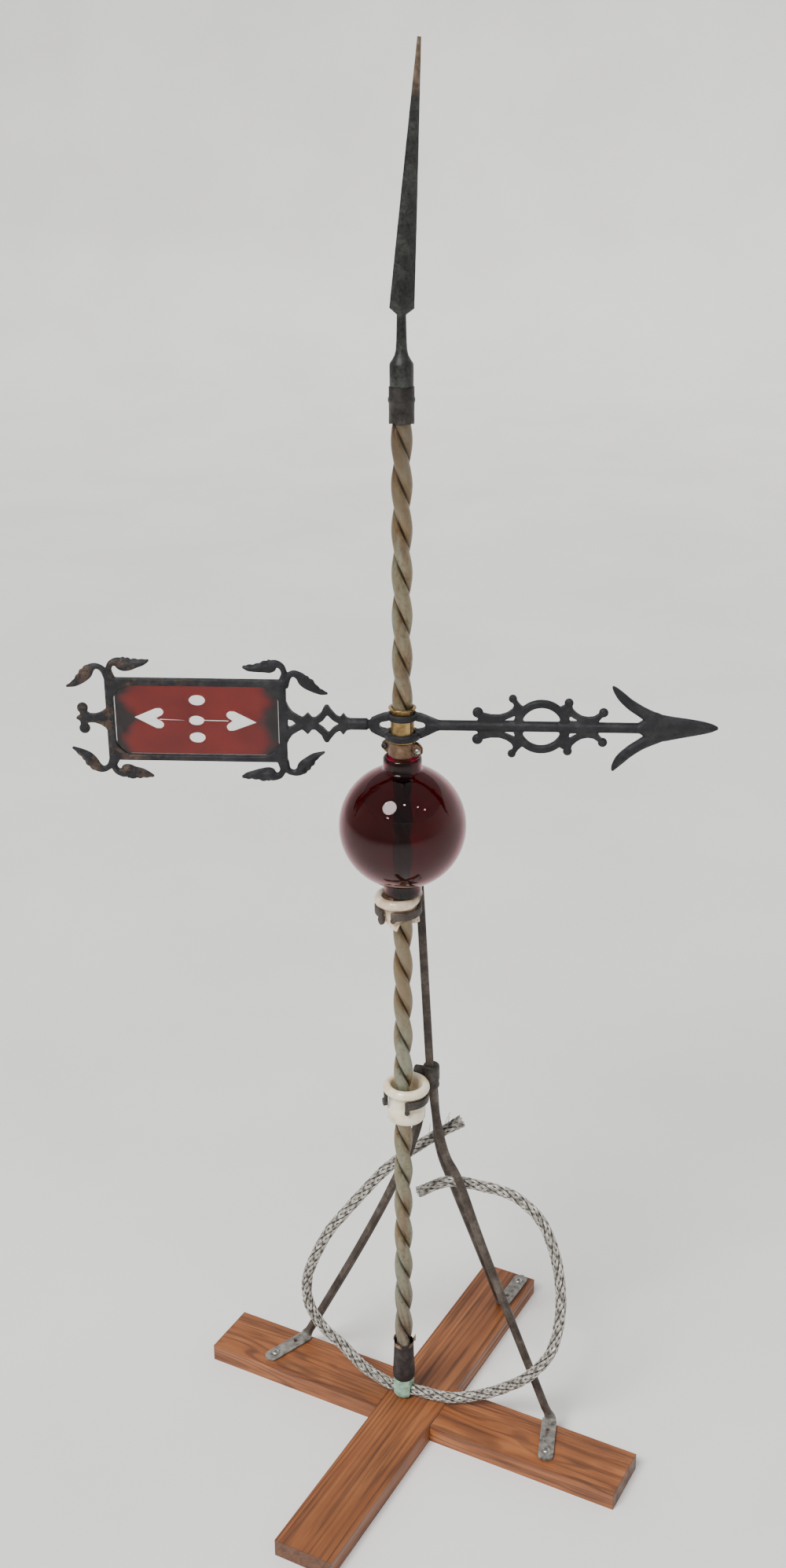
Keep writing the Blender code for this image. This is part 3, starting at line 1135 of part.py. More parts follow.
def build_point(parts):
    """Wrapped collar at the rod's top, and the cap, neck and blade of the spear point."""
    inner = ROD_RADIUS + BORE_SLACK
    r = POINT_COLLAR_RADIUS
    h = POINT_COLLAR_HEIGHT
    foot = ROD_TOP + TOUCH - (h + CAP_SOCKET)
    bead = r + POINT_COLLAR_BEAD
    profile = [(r, h), (r, 0.72 * h), (bead, 0.65 * h), (r, 0.58 * h), (r, 0.0), (inner, 0.0), (inner, h)]
    finish(turned("point_collar", profile, ROUND, parts, ring=True), DARK_COPPER, (0, 0, foot))

    cap_foot = foot + h + TOUCH
    cap_top = CAP_HEIGHT
    neck_top = cap_top + CAP_SHOULDER + NECK_LENGTH
    cap = [(0.0, neck_top), (NECK_RADIUS, neck_top), (NECK_FOOT_RADIUS, cap_top + CAP_SHOULDER),
           (CAP_RADIUS, cap_top), (CAP_RADIUS, 0.0), (inner, 0.0), (inner, CAP_SOCKET), (0.0, CAP_SOCKET)]
    socket = turned("spear_point", cap, 16, parts)
    blade = turned("blade", [(0.0, BLADE_LENGTH), (BLADE_TIP, BLADE_LENGTH),
                             (BLADE_WIDTH / 2, BLADE_SHOULDER), (NECK_RADIUS, 0.0), (0.0, 0.0)], 4, parts)
    blade.data.transform(Matrix.Diagonal((1.0, BLADE_THICK / BLADE_WIDTH, 1.0, 1.0)))
    sink = 0.0020
    blade.data.transform(Matrix.Translation((0, 0, neck_top - sink))
                         @ Matrix.Rotation(BLADE_LEAN, 4, "Y") @ Matrix.Rotation(BLADE_TURN, 4, "Z"))
    finish(combine(socket, [blade]), DARK_COPPER, (0, 0, cap_foot))


def main():
    """Clear the scene and build every sub-part."""
    for obj in list(bpy.data.objects):
        bpy.data.objects.remove(obj)
    parts = new_collection("weathervane")
    cutters = new_collection("cutters")
    build_cross(parts, cutters)
    build_foot(parts, cutters)
    build_rod(parts)
    build_insulators(parts, cutters)
    build_legs(parts, cutters)
    build_bracket(parts, cutters)
    build_ball(parts)
    build_clamp(parts, cutters)
    build_hub_sleeve(parts, cutters)
    build_arrow(parts, cutters)
    build_point(parts)


main()
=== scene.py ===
import random
from math import atan2, cos, exp, pi, radians, sin, sqrt

import bmesh
import bpy
from mathutils import Matrix, Vector, noise


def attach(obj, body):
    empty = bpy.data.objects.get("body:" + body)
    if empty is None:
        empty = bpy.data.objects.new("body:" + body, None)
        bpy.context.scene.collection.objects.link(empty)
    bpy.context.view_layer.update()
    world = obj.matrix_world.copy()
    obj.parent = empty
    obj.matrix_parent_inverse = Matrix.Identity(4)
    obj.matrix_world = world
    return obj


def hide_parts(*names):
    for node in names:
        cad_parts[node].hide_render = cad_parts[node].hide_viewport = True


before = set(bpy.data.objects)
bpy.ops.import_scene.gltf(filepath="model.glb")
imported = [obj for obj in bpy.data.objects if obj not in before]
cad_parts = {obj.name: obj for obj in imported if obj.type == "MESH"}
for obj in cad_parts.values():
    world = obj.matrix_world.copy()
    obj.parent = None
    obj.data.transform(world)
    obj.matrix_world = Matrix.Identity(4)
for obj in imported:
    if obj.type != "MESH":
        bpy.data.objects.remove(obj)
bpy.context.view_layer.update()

SEED = 7

# Heights and fits of the frame
DECK = 0.0185
FITTING_FOOT = 0.0188
ROD_FOOT = 0.0431
ROD_TOP = 1.0687
ROD_PITCH = 0.0752
ROD_RADIUS = 0.0091
BALL_CENTRE = 0.66325
BALL_RADIUS = 0.05715
BALL_POLE = 0.0669
CLAMP_FOOT = 0.7312
HUB_SLEEVE_FOOT = 0.7455
HUB_SLEEVE_TOP = 0.7762
HUB_HEIGHT = 0.7597
HUB_BORE = 0.0109
COLLAR_FOOT = 1.0224
CAP_FOOT = 1.0533
LOWER_LIP = (0.0030, 0.0020, 0.3940)
UPPER_LIP = (-0.0042, 0.0018, 0.5952)
UPPER_TILT = radians(-2.6)
CROSS_YAW = radians(-27.9)
CROSS_CENTRE = (0.013, -0.0057)
PLANK_LENGTH = 0.459
VANE_YAW = radians(-2.8)
CLAMP_YAW = radians(-28)

# Conductor: routes from the fitting outwards, in mm
EXIT_YAW = radians(-20)
EXIT_HEIGHT = 0.0274
ROUTE_LEFT = [
    (-30, 12.5, 30.5), (-48, 21.5, 43.2), (-65.5, 31, 58), (-81.5, 37, 71), (-93, 41, 85), (-99, 43, 103),
    (-100.5, 44, 122), (-97.5, 44, 141), (-90, 44, 161), (-80, 44, 183), (-66, 44, 205), (-48, 44, 227),
    (-29, 46, 251.5), (-10, 48, 270), (6, 50, 282), (20, 51.5, 292), (35, 54.5, 300), (48, 56, 308.5),
    (59, 56.5, 314),
]
ROUTE_RIGHT = [
    (30, -12.5, 26.2), (52, -15, 26.8), (75, -18, 32.5), (96.5, -26, 46), (113, -35, 64), (125.5, -41.5, 78),
    (133, -43.5, 88), (143, -42.5, 101), (149.5, -38, 115), (154.5, -30, 134), (156.5, -22, 154.5),
    (154, -12, 179), (148.5, -2, 203.5), (141, 6, 221), (130, 13, 235), (115, 20, 246), (95.5, 25, 253),
    (73.5, 28, 257), (56, 30, 259), (42.5, 32, 258.5), (27.5, 34.5, 253), (15, 36.5, 243),
]


UP = Vector((0, 0, 1))


# Camera, light and floor

LIGHT_AIM = Vector((0, 0, 0.6))


def placed(name, data):
    """A new object for some data, linked to the scene."""
    obj = bpy.data.objects.new(name, data)
    bpy.context.scene.collection.objects.link(obj)
    return obj


def set_camera():
    """The photograph's viewpoint: eye height, looking down at the vane from the front."""
    data = bpy.data.cameras.new("camera")
    data.sensor_width = 36.0
    data.lens = 41.026
    data.shift_x = -0.006078
    data.clip_start = 0.05
    data.clip_end = 60.0
    camera = placed("camera", data)
    camera.location = (0.0, -1.4592, 1.3185)
    camera.rotation_euler = (1.171826, 0.00222, -0.000936)
    bpy.context.scene.camera = camera


def area_light(name, location, width, height, power):
    """A soft panel aimed at the middle of the rod."""
    data = bpy.data.lights.new(name, "AREA")
    data.shape = "RECTANGLE"
    data.size = width
    data.size_y = height
    data.energy = power
    light = placed(name, data)
    light.location = location
    light.rotation_euler = (LIGHT_AIM - Vector(location)).to_track_quat("-Z", "Y").to_euler()
    return light


def set_lights():
    """Even pale room, a soft sun from above and small bright panels that glint on glass and glaze."""
    world = bpy.data.worlds.new("room")
    world.use_nodes = True
    background = world.node_tree.nodes["Background"]
    background.inputs["Color"].default_value = (0.96, 0.98, 1.0, 1.0)
    background.inputs["Strength"].default_value = 0.50
    bpy.context.scene.world = world
    sun = bpy.data.lights.new("sun", "SUN")
    sun.energy = 3.1
    sun.angle = radians(24)
    placed("sun", sun).rotation_euler = (radians(30), radians(-26), 0.0)
    key = area_light("key", (-1.5, -1.4, 2.2), 0.8, 0.8, 26)
    key.visible_glossy = False
    key.visible_transmission = False
    for name, location, width, height, power in (
            ("strip_front", (0.12, -1.05, 2.5), 0.13, 0.05, 2.6),
            ("strip_left", (-0.95, -0.7, 2.35), 0.09, 0.04, 1.5),
            ("spot_right", (0.85, -0.9, 2.2), 0.05, 0.05, 1.2),
            ("spot_low", (-0.75, -1.2, 1.6), 0.05, 0.03, 0.6),
            ("spot_far", (1.15, -0.8, 1.9), 0.04, 0.04, 0.5)):
        area_light(name, location, width, height, power)


def set_floor():
    """A pale floor that rises far away into a plain wall all round."""
    profile = [(0.8, 0.0), (2.0, 0.0), (4.5, 0.0), (5.4, 0.12), (6.0, 0.6), (6.2, 1.6), (6.2, 4.0)]
    steps = 96
    verts = [(0.0, 0.0, 0.0)]
    for r, z in profile:
        verts += [around(r, z, 2 * pi * k / steps) for k in range(steps)]
    faces = [(0, 1 + k, 1 + (k + 1) % steps) for k in range(steps)]
    for i in range(len(profile) - 1):
        low = 1 + i * steps
        high = low + steps
        faces += [(low + k, high + k, high + (k + 1) % steps, low + (k + 1) % steps) for k in range(steps)]
    mesh = bpy.data.meshes.new("floor")
    mesh.from_pydata(verts, [], faces)
    mesh.shade_smooth()
    floor = placed("floor", mesh)
    paint = Paint("floor")
    paint.finish(paint.cloud([(0.35, (0.80, 0.79, 0.765)), (0.65, (0.86, 0.85, 0.83))], 2.2, 5, 0.55), 0.85)
    mesh.materials.append(paint.material)


# Materials

PAINTS = {}


class Paint:
    """A procedural material whose nodes are added one call at a time, kept in PAINTS by its name."""

    def __init__(self, name):
        self.material = bpy.data.materials.new(name)
        self.material.use_nodes = True
        self.tree = self.material.node_tree
        self.shader = self.tree.nodes["Principled BSDF"]
        self.place = self.node("TexCoord").outputs["Object"]
        PAINTS[name] = self

    def node(self, kind, **inputs):
        """A new node with named inputs wired or set."""
        node = self.tree.nodes.new("ShaderNode" + kind)
        for name, source in inputs.items():
            self.wire(source, node.inputs[name])
        return node

    def wire(self, source, socket):
        if isinstance(source, (int, float)):
            socket.default_value = source
        elif isinstance(source, tuple):
            socket.default_value = (*source, 1.0)
        else:
            self.tree.links.new(source, socket)

    def mapped(self, scale=(1, 1, 1), turn=(0, 0, 0), shift=(0, 0, 0)):
        """Coordinates moved by shift, then turned, then stretched."""
        coords = self.place
        for name, value in (("Location", shift), ("Rotation", turn), ("Scale", scale)):
            node = self.node("Mapping", Vector=coords)
            node.inputs[name].default_value = value
            coords = node.outputs[0]
        return coords

    def noise(self, scale, detail=5, rough=0.55, coords=None, distort=0.0):
        return self.node("TexNoise", Scale=scale, Detail=detail, Roughness=rough, Distortion=distort,
                         Vector=coords or self.place).outputs[0]

    def ramp(self, factor, stops):
        """Numbers or colours blended along a factor."""
        node = self.node("ValToRGB", Fac=factor)
        band = node.color_ramp
        while len(band.elements) < len(stops):
            band.elements.new(0.5)
        for element, (place, value) in zip(band.elements, stops):
            element.position = place
            element.color = (*(value if isinstance(value, tuple) else (value,) * 3), 1.0)
        return node.outputs["Color"]

    def cloud(self, stops, *grain):
        """Noise of a given grain, blended through stops."""
        return self.ramp(self.noise(*grain), stops)

    def mix(self, factor, a, b, kind="MIX"):
        node = self.node("Mix")
        node.data_type = "RGBA"
        node.blend_type = kind
        for index, source in ((0, factor), (6, a), (7, b)):
            self.wire(source, node.inputs[index])
        return node.outputs[2]

    def over(self, tone, cover, factor, strength):
        """A tone with a second one laid over it where factor is high."""
        return self.mix(self.times(factor, strength), tone, cover)

    def maths(self, operation, a, b=0.0, clamp=False):
        node = self.node("Math")
        node.operation = operation
        node.use_clamp = clamp
        self.wire(a, node.inputs[0])
        self.wire(b, node.inputs[1])
        return node.outputs[0]

    def plus(self, a, b):
        return self.maths("ADD", a, b)

    def less(self, a, b):
        return self.maths("SUBTRACT", a, b)

    def times(self, a, b):
        return self.maths("MULTIPLY", a, b)

    def ragged(self, value, scale, amount):
        """A value made uneven by noise."""
        return self.plus(value, self.times(self.noise(scale, 4), amount))

    def axis(self, coords, name):
        return self.node("SeparateXYZ", Vector=coords).outputs[name]

    def attribute(self, name):
        node = self.node("Attribute")
        node.attribute_name = name
        return node.outputs["Fac"]

    def tone(self):
        """The colour wired so far."""
        return self.shader.inputs["Base Color"].links[0].from_socket

    def finish(self, tone, rough, **values):
        """Set the colour, the roughness and any other named values of the surface."""
        self.wire(tone, self.shader.inputs["Base Color"])
        self.wire(rough, self.shader.inputs["Roughness"])
        for name, value in values.items():
            self.wire(value, self.shader.inputs[name.replace("_", " ")])

    def bump(self, height, distance, strength=1.0):
        """Fine relief, laid over any relief that is there."""
        node = self.node("Bump", Strength=strength, Distance=distance, Height=height)
        normal = self.shader.inputs["Normal"]
        if normal.is_linked:
            self.wire(normal.links[0].from_socket, node.inputs["Normal"])
        self.wire(node.outputs[0], normal)


METALS = {      # dark, middle and light tone, roughness, metallic, grain, patches, relief
    "point_sheet": ((0.012, 0.010, 0.009), (0.027, 0.022, 0.020), (0.060, 0.052, 0.045), (0.38, 0.62), 0.45, 300, 70,
                    0.0004),
    "gunmetal": ((0.022, 0.022, 0.021), (0.038, 0.038, 0.036), (0.090, 0.096, 0.086), (0.34, 0.60), 0.72, 420, 38,
                 0.0004),
    "lapped_sheet": ((0.012, 0.010, 0.010), (0.026, 0.020, 0.020), (0.060, 0.050, 0.046), (0.45, 0.72), 0.25, 300, 90,
                     0.0004),
    "torn_copper": ((0.13, 0.085, 0.055), (0.26, 0.18, 0.12), (0.42, 0.32, 0.24), (0.38, 0.6), 0.65, 420, 160,
                    0.0004),
    "rusty_bar": ((0.034, 0.026, 0.023), (0.070, 0.053, 0.045), (0.135, 0.108, 0.088), (0.5, 0.78), 0.30, 360, 60,
                  0.0006),
    "grey_bar": ((0.032, 0.023, 0.018), (0.072, 0.054, 0.043), (0.150, 0.125, 0.103), (0.42, 0.7), 0.40, 330, 60,
                 0.0006),
    "bracket_casting": ((0.024, 0.021, 0.019), (0.050, 0.044, 0.038), (0.105, 0.090, 0.075), (0.42, 0.70), 0.45, 300,
                        85, 0.0008),
    "screw_steel": ((0.30, 0.29, 0.27), (0.52, 0.51, 0.49), (0.66, 0.65, 0.63), (0.22, 0.42), 1.0, 500, 200, 0.0001),
    "dark_screw": ((0.03, 0.03, 0.028), (0.07, 0.066, 0.06), (0.14, 0.13, 0.12), (0.4, 0.6), 0.6, 500, 200, 0.0003),
    "brass": ((0.19, 0.115, 0.050), (0.40, 0.26, 0.105), (0.60, 0.42, 0.19), (0.26, 0.46), 0.9, 260, 60, 0.0002),
    "clamp_copper": ((0.085, 0.050, 0.032), (0.19, 0.115, 0.072), (0.34, 0.22, 0.14), (0.30, 0.5), 0.8, 320, 70,
                     0.0003),
}


def paint_metals():
    """Old metals: three tones in patches, a fine grain and an uneven sheen."""
    for name, (dark, middle, light, rough, metallic, grain, patch, bump) in METALS.items():
        paint = Paint(name)
        tone = paint.cloud([(0.30, dark), (0.50, middle), (0.72, light)], patch, 6, 0.6)
        fine = paint.noise(grain, 4, 0.6)
        speck = paint.ramp(fine, [(0.30, 0.55), (0.55, 1.0), (0.75, 1.25)])
        paint.finish(paint.mix(1.0, tone, speck, "MULTIPLY"),
                     paint.ramp(fine, [(0.30, rough[0]), (0.70, rough[1])]), Metallic=metallic)
        paint.bump(fine, bump)

    spear = PAINTS["gunmetal"]      # brown towards the tip
    band = spear.less(spear.ragged(spear.axis(spear.place, "Z"), 70, 0.03), 1.284)
    brown = spear.ramp(spear.maths("MULTIPLY", band, 40.0, True), [(0.0, 0.0), (0.8, 1.0)])
    rust = spear.cloud([(0.35, (0.11, 0.070, 0.045)), (0.65, (0.26, 0.19, 0.135))], 170, 4)
    spear.wire(spear.over(spear.tone(), rust, brown, 0.75), spear.shader.inputs["Base Color"])

    leg = PAINTS["grey_bar"]        # pale zinc on the foot plates
    low = leg.ramp(leg.ragged(leg.axis(leg.place, "Z"), 55, 0.012), [(0.0, 1.0), (0.026, 1.0), (0.040, 0.0)])
    zinc = leg.cloud([(0.32, (0.075, 0.062, 0.052)), (0.46, (0.21, 0.195, 0.175)), (0.62, (0.33, 0.315, 0.290)),
                      (0.80, (0.43, 0.42, 0.40))], 150, 6, 0.65)
    leg.wire(leg.mix(low, leg.tone(), zinc), leg.shader.inputs["Base Color"])


def paint_rod():
    """Old copper: brown and grey-green patches drawn out along the rod, with painted shade in its grooves and a
    painted highlight along the crests of its lobes.
    """
    copper = Paint("weathered_copper")
    patches = copper.noise(75, 6, 0.62, copper.mapped(scale=(1, 1, 0.16)), 0.4)
    tone = copper.ramp(patches, [(0.30, (0.045, 0.034, 0.024)), (0.41, (0.15, 0.090, 0.042)),
                                 (0.50, (0.18, 0.145, 0.080)), (0.60, (0.20, 0.205, 0.145)),
                                 (0.74, (0.225, 0.232, 0.185))])
    height = copper.axis(copper.place, "Z")
    grey = copper.ramp(copper.plus(copper.times(height, 2.2), copper.noise(9, 3, 0.5)), [(0.45, 1.0), (1.0, 0.0)])
    tone = copper.over(tone, (0.165, 0.168, 0.145), grey, 0.62)
    tone = copper.mix(1.0, tone, copper.cloud([(0.32, 0.55), (0.50, 1.0)], 240, 5, 0.65), "MULTIPLY")
    stretch = copper.times(copper.ragged(height, 22, 0.08), 0.8)
    warm = copper.ramp(stretch, [(0.385, 0.0), (0.42, 1.0), (0.470, 1.0), (0.50, 0.0), (0.765, 0.0), (0.80, 0.8),
                                 (0.92, 0.9)])
    tone = copper.over(tone, (0.150, 0.083, 0.033), warm, 0.72)
    groove = copper.attribute("groove")
    # painted shade: dark copper laid along the grooves between the lobes
    tone = copper.over(tone, (0.026, 0.018, 0.012), copper.ramp(groove, [(0.30, 0.0), (0.95, 1.0)]), 0.82)
    # painted highlight: pale copper laid along the crests of the lobes
    tone = copper.over(tone, (0.36, 0.36, 0.29), copper.ramp(groove, [(0.0, 1.0), (0.05, 0.0)]), 0.16)
    tone = copper.mix(copper.ramp(stretch, [(0.775, 0.0), (0.86, 0.52)]), tone, (0.060, 0.044, 0.032))
    copper.finish(tone, copper.ramp(patches, [(0.30, 0.26), (0.70, 0.46)]), Metallic=0.55)
    copper.bump(copper.noise(420, 4, 0.6), 0.00025)


def paint_fitting():
    """Verdigris with dark spots and yellow patches."""
    green = Paint("verdigris")
    tone = green.cloud([(0.30, (0.12, 0.23, 0.160)), (0.45, (0.22, 0.39, 0.285)), (0.60, (0.33, 0.53, 0.400)),
                        (0.75, (0.50, 0.64, 0.470))], 120, 7, 0.6)
    tone = green.mix(green.cloud([(0.31, 0.0), (0.37, 1.0)], 260, 4, 0.7), (0.020, 0.022, 0.018), tone)
    green.finish(green.mix(green.cloud([(0.58, 0.0), (0.70, 0.6)], 90, 3, 0.5), tone, (0.55, 0.60, 0.30)), 0.78)
    green.bump(green.noise(330, 5, 0.65), 0.0006)


def paint_porcelain():
    """Cream glaze with stains and flecks, the upper insulator's the more stained."""
    for name, clean, stain, fleck in (
            ("porcelain", (0.84, 0.74, 0.54), (0.60, 0.44, 0.25), (0.16, 0.11, 0.07)),
            ("aged_porcelain", (0.78, 0.64, 0.45), (0.50, 0.30, 0.20), (0.10, 0.07, 0.05))):
        glaze = Paint(name)
        patches = glaze.noise(48, 6, 0.6)
        tone = glaze.ramp(patches, [(0.34, stain), (0.52, clean), (0.80, (0.86, 0.82, 0.72))])
        run = glaze.noise(90, 5, 0.6, glaze.mapped(scale=(1, 1, 0.25)))
        tone = glaze.mix(glaze.ramp(run, [(0.55, 0.0), (0.72, 0.55)]), tone, stain)
        dirt = glaze.cloud([(0.30, 1.0), (0.36, 0.0)], 380, 4, 0.7)
        glaze.finish(glaze.over(tone, fleck, dirt, 0.6), glaze.ramp(patches, [(0.35, 0.42), (0.60, 0.16)]),
                     Coat_Weight=0.5, Coat_Roughness=0.08)
        glaze.bump(glaze.noise(70, 4, 0.5), 0.0005)


def paint_casting():
    """Black paint on the arrow, worn at the edges and rusty towards the tail."""
    iron = Paint("black_casting")
    tone = iron.cloud([(0.30, (0.0075, 0.0075, 0.0095)), (0.52, (0.014, 0.0138, 0.0165)),
                       (0.68, (0.030, 0.028, 0.030)), (0.80, (0.055, 0.045, 0.040))], 55, 7, 0.62)
    away = iron.maths("SUBTRACT", iron.times(iron.axis(iron.place, "X"), -4.0), 0.35, True)
    tail = iron.ramp(away, [(0.30, 0.0), (0.62, 1.0)])
    flakes = iron.cloud([(0.50, 0.0), (0.60, 1.0)], 70, 6, 0.7)
    rust = iron.cloud([(0.32, (0.045, 0.026, 0.017)), (0.66, (0.120, 0.075, 0.050))], 210, 5, 0.65)
    tone = iron.over(tone, rust, iron.times(tail, flakes), 0.75)
    edges = iron.ramp(iron.node("NewGeometry").outputs["Pointiness"], [(0.53, 0.0), (0.60, 1.0)])
    worn = iron.times(edges, iron.cloud([(0.42, 0.0), (0.62, 1.0)], 160, 4))
    iron.finish(iron.over(tone, (0.095, 0.070, 0.055), worn, 0.55),
                iron.cloud([(0.30, 0.42), (0.70, 0.72)], 180, 4, 0.6), Metallic=0.35)
    iron.bump(iron.noise(130, 6, 0.62), 0.0011, 0.7)
    iron.bump(iron.noise(520, 4, 0.6), 0.0004, 0.8)


def paint_cable():
    """Dull wire with painted shade where it runs under its neighbours, and a dark core painted as the shade inside
    the braid.
    """
    wire = Paint("bare_wire")
    tone = wire.cloud([(0.30, (0.24, 0.215, 0.18)), (0.46, (0.50, 0.465, 0.41)), (0.64, (0.80, 0.77, 0.71))],
                      190, 5, 0.6)
    # painted shade: the wire is darkened where its value is low, where it runs under its neighbours and on the outer
    # wires of each strand
    lifted = wire.ramp(wire.attribute("lift"), [(0.22, 0.0), (0.62, 1.0)])
    wire.finish(wire.mix(lifted, (0.055, 0.048, 0.040), tone), wire.cloud([(0.35, 0.34), (0.65, 0.52)], 300, 3),
                Metallic=0.45)
    wire.bump(wire.noise(600, 3), 0.0001)
    # painted shade: the dark core stands for the shade inside the braid, seen through the gaps between the strands
    core = Paint("braid_shade_core")
    core.finish(core.cloud([(0.3, (0.020, 0.017, 0.014)), (0.7, (0.075, 0.066, 0.055))], 400, 3), 0.8)


def paint_glass():
    """Dark ruby ball, clear pane, and the pane's ruby skin, sooty along its border."""
    ball = Paint("ruby_ball")
    ball.finish(ball.cloud([(0.35, (0.150, 0.003, 0.018)), (0.65, (0.185, 0.004, 0.024))], 22, 3, 0.5), 0.0,
                IOR=1.38, Transmission_Weight=1.0)
    ball.bump(ball.noise(14, 2, 0.4), 0.0006, 0.35)
    Paint("clear_glass").finish((0.97, 0.98, 0.96), 0.0, IOR=1.45, Transmission_Weight=1.0)

    red = Paint("flashed_ruby")
    local = red.mapped(turn=(0, 0, -VANE_YAW), shift=(0, 0, -HUB_HEIGHT))
    rag = red.times(red.less(red.noise(95, 5, 0.6), 0.5), 0.016)
    side = red.maths("ABSOLUTE", red.plus(red.axis(local, "X"), 0.1800))
    height = red.maths("ABSOLUTE", red.less(red.axis(local, "Z"), 0.0015))
    wedge = red.maths("MAXIMUM", red.times(red.less(0.020, height), 0.62), red.times(red.less(height, 0.019), 0.75))
    grime = red.ramp(red.plus(red.plus(side, wedge), rag), [(0.0, 0.0), (0.0610, 0.0), (0.0705, 1.0)])
    body = red.cloud([(0.35, (0.140, 0.0085, 0.0070)), (0.65, (0.195, 0.0130, 0.0100))], 30, 4, 0.5)
    soot = red.cloud([(0.35, (0.006, 0.005, 0.006)), (0.65, (0.030, 0.018, 0.018))], 80, 5, 0.6)
    red.finish(red.mix(grime, body, soot), 0.06, IOR=1.45, Transmission_Weight=1.0)


def paint_oak(name, yaw, wave_scale, bend, warp):
    """Stained oak: broad bands along the board, short dark pores and darker ends."""
    paint = Paint(name)
    board = {"turn": (0, 0, -yaw), "shift": (-CROSS_CENTRE[0], -CROSS_CENTRE[1], 0)}
    local = paint.mapped(**board)
    stretched = paint.mapped(warp, **board)
    x, y, z = (paint.axis(local, axis) for axis in "XYZ")
    offset = paint.times(paint.less(paint.noise(3.2, 2, 0.5, stretched), 0.5), 0.050 * bend)
    across = paint.plus(paint.plus(y, paint.times(z, 0.9)), offset)
    bands = paint.node("TexWave", Scale=wave_scale, Distortion=0.0,
                       Vector=paint.node("CombineXYZ", X=x, Y=across, Z=z).outputs[0])
    bands.wave_type = "BANDS"
    bands.bands_direction = "Y"
    rings = bands.outputs[1]
    strength = paint.ramp(paint.noise(9, 3, 0.5, stretched), [(0.36, 0.15), (0.58, 1.0)])
    dark = paint.times(paint.ramp(rings, [(0.60, 0.0), (0.94, 1.0)]), strength)
    pores = paint.noise(150, 3, 0.6, paint.mapped((0.045, 1, 1), **board))
    tone = paint.ramp(paint.noise(16, 4, 0.55, stretched), [(0.30, (0.175, 0.054, 0.016)),
                                                            (0.52, (0.250, 0.082, 0.025)),
                                                            (0.74, (0.330, 0.122, 0.040))])
    tone = paint.over(tone, (0.060, 0.021, 0.010), dark, 0.66)
    tone = paint.over(tone, (0.042, 0.017, 0.009), paint.ramp(pores, [(0.36, 1.0), (0.48, 0.0)]), 0.55)
    tone = paint.mix(1.0, tone, paint.cloud([(0.35, 0.80), (0.62, 1.12)], 11, 3, 0.5), "MULTIPLY")
    end = paint.ramp(paint.times(paint.maths("ABSOLUTE", x), 2 / PLANK_LENGTH), [(0.9975, 0.0), (0.9990, 1.0)])
    paint.finish(paint.over(tone, (0.060, 0.026, 0.014), end, 0.72), paint.ramp(pores, [(0.35, 0.62), (0.60, 0.44)]))
    paint.bump(pores, 0.0005, 0.6)
    paint.bump(rings, 0.0006, 0.3)


# Mesh building

def dress(obj, paint, node, slot, sharp=35, body="stand"):
    """Give a piece its material, smooth shading and its body, and hide the imported part of the node that it stands
    for. slot is not used.
    """
    obj.data.materials.clear()
    obj.data.materials.append(PAINTS[paint].material)
    obj.data.shade_smooth()
    if sharp is not None:
        obj.data.set_sharp_from_angle(angle=radians(sharp))
    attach(obj, body)
    if node:
        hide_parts(node)
    return obj


def outward(mesh, merge=None):
    """Turn a mesh's normals outwards, after points closer than merge are made one."""
    bm = bmesh.new()
    bm.from_mesh(mesh)
    if merge:
        bmesh.ops.remove_doubles(bm, verts=bm.verts, dist=merge)
    bmesh.ops.recalc_face_normals(bm, faces=bm.faces)
    bm.to_mesh(mesh)
    bm.free()


def from_shells(name, shells):
    """One object from several (points, faces) shells."""
    verts = []
    faces = []
    for points, polys in shells:
        base = len(verts)
        verts += [tuple(p) for p in points]
        faces += [tuple(base + i for i in poly) for poly in polys]
    mesh = bpy.data.meshes.new(name)
    mesh.from_pydata(verts, [], faces)
    outward(mesh)
    return placed(name, mesh)


def piece(name, shells, *look):
    """A dressed object from shells."""
    return dress(from_shells(name, shells), *look)


def shade_by(obj, name, values):
    """Keep a number for each point, which the material reads."""
    obj.data.attributes.new(name, "FLOAT", "POINT").data.foreach_set("value", values)


def grid(rings, loop=False):
    """Join equal rings of points into a capped tube. loop joins the last ring to the first instead."""
    count = len(rings[0])
    total = len(rings)
    points = [p for ring in rings for p in ring]
    faces = []
    for i in range(total if loop else total - 1):
        low = i * count
        high = ((i + 1) % total) * count
        for k in range(count):
            after = (k + 1) % count
            faces.append((low + k, low + after, high + after, high + k))
    if not loop:
        faces.append(tuple(range(count))[::-1])
        faces.append(tuple((total - 1) * count + k for k in range(count)))
    return points, faces


def around(r, z, a):
    """The point at a radius, a height and an angle."""
    return Vector((r * cos(a), r * sin(a), z))


def lathe(profile, steps=64, start=0.0, sweep=2 * pi, shape=None):
    """Turn a closed (radius, height) profile about Z, wholly or through part of a turn."""
    whole = abs(sweep - 2 * pi) < 1e-6
    rings = []
    for k in range(steps if whole else steps + 1):
        a = start + sweep * k / steps
        rings.append([around(*(shape(r, z, a) if shape else (r, z)), a) for r, z in profile])
    return grid(rings, loop=whole)


def moved(shell, matrix):
    """A shell carried by a matrix."""
    points, faces = shell
    return [matrix @ Vector(p) for p in points], faces


def at(x, y, z):
    """A translation."""
    return Matrix.Translation((x, y, z))


def spun(angle, axis="Z"):
    """A rotation."""
    return Matrix.Rotation(angle, 4, axis)


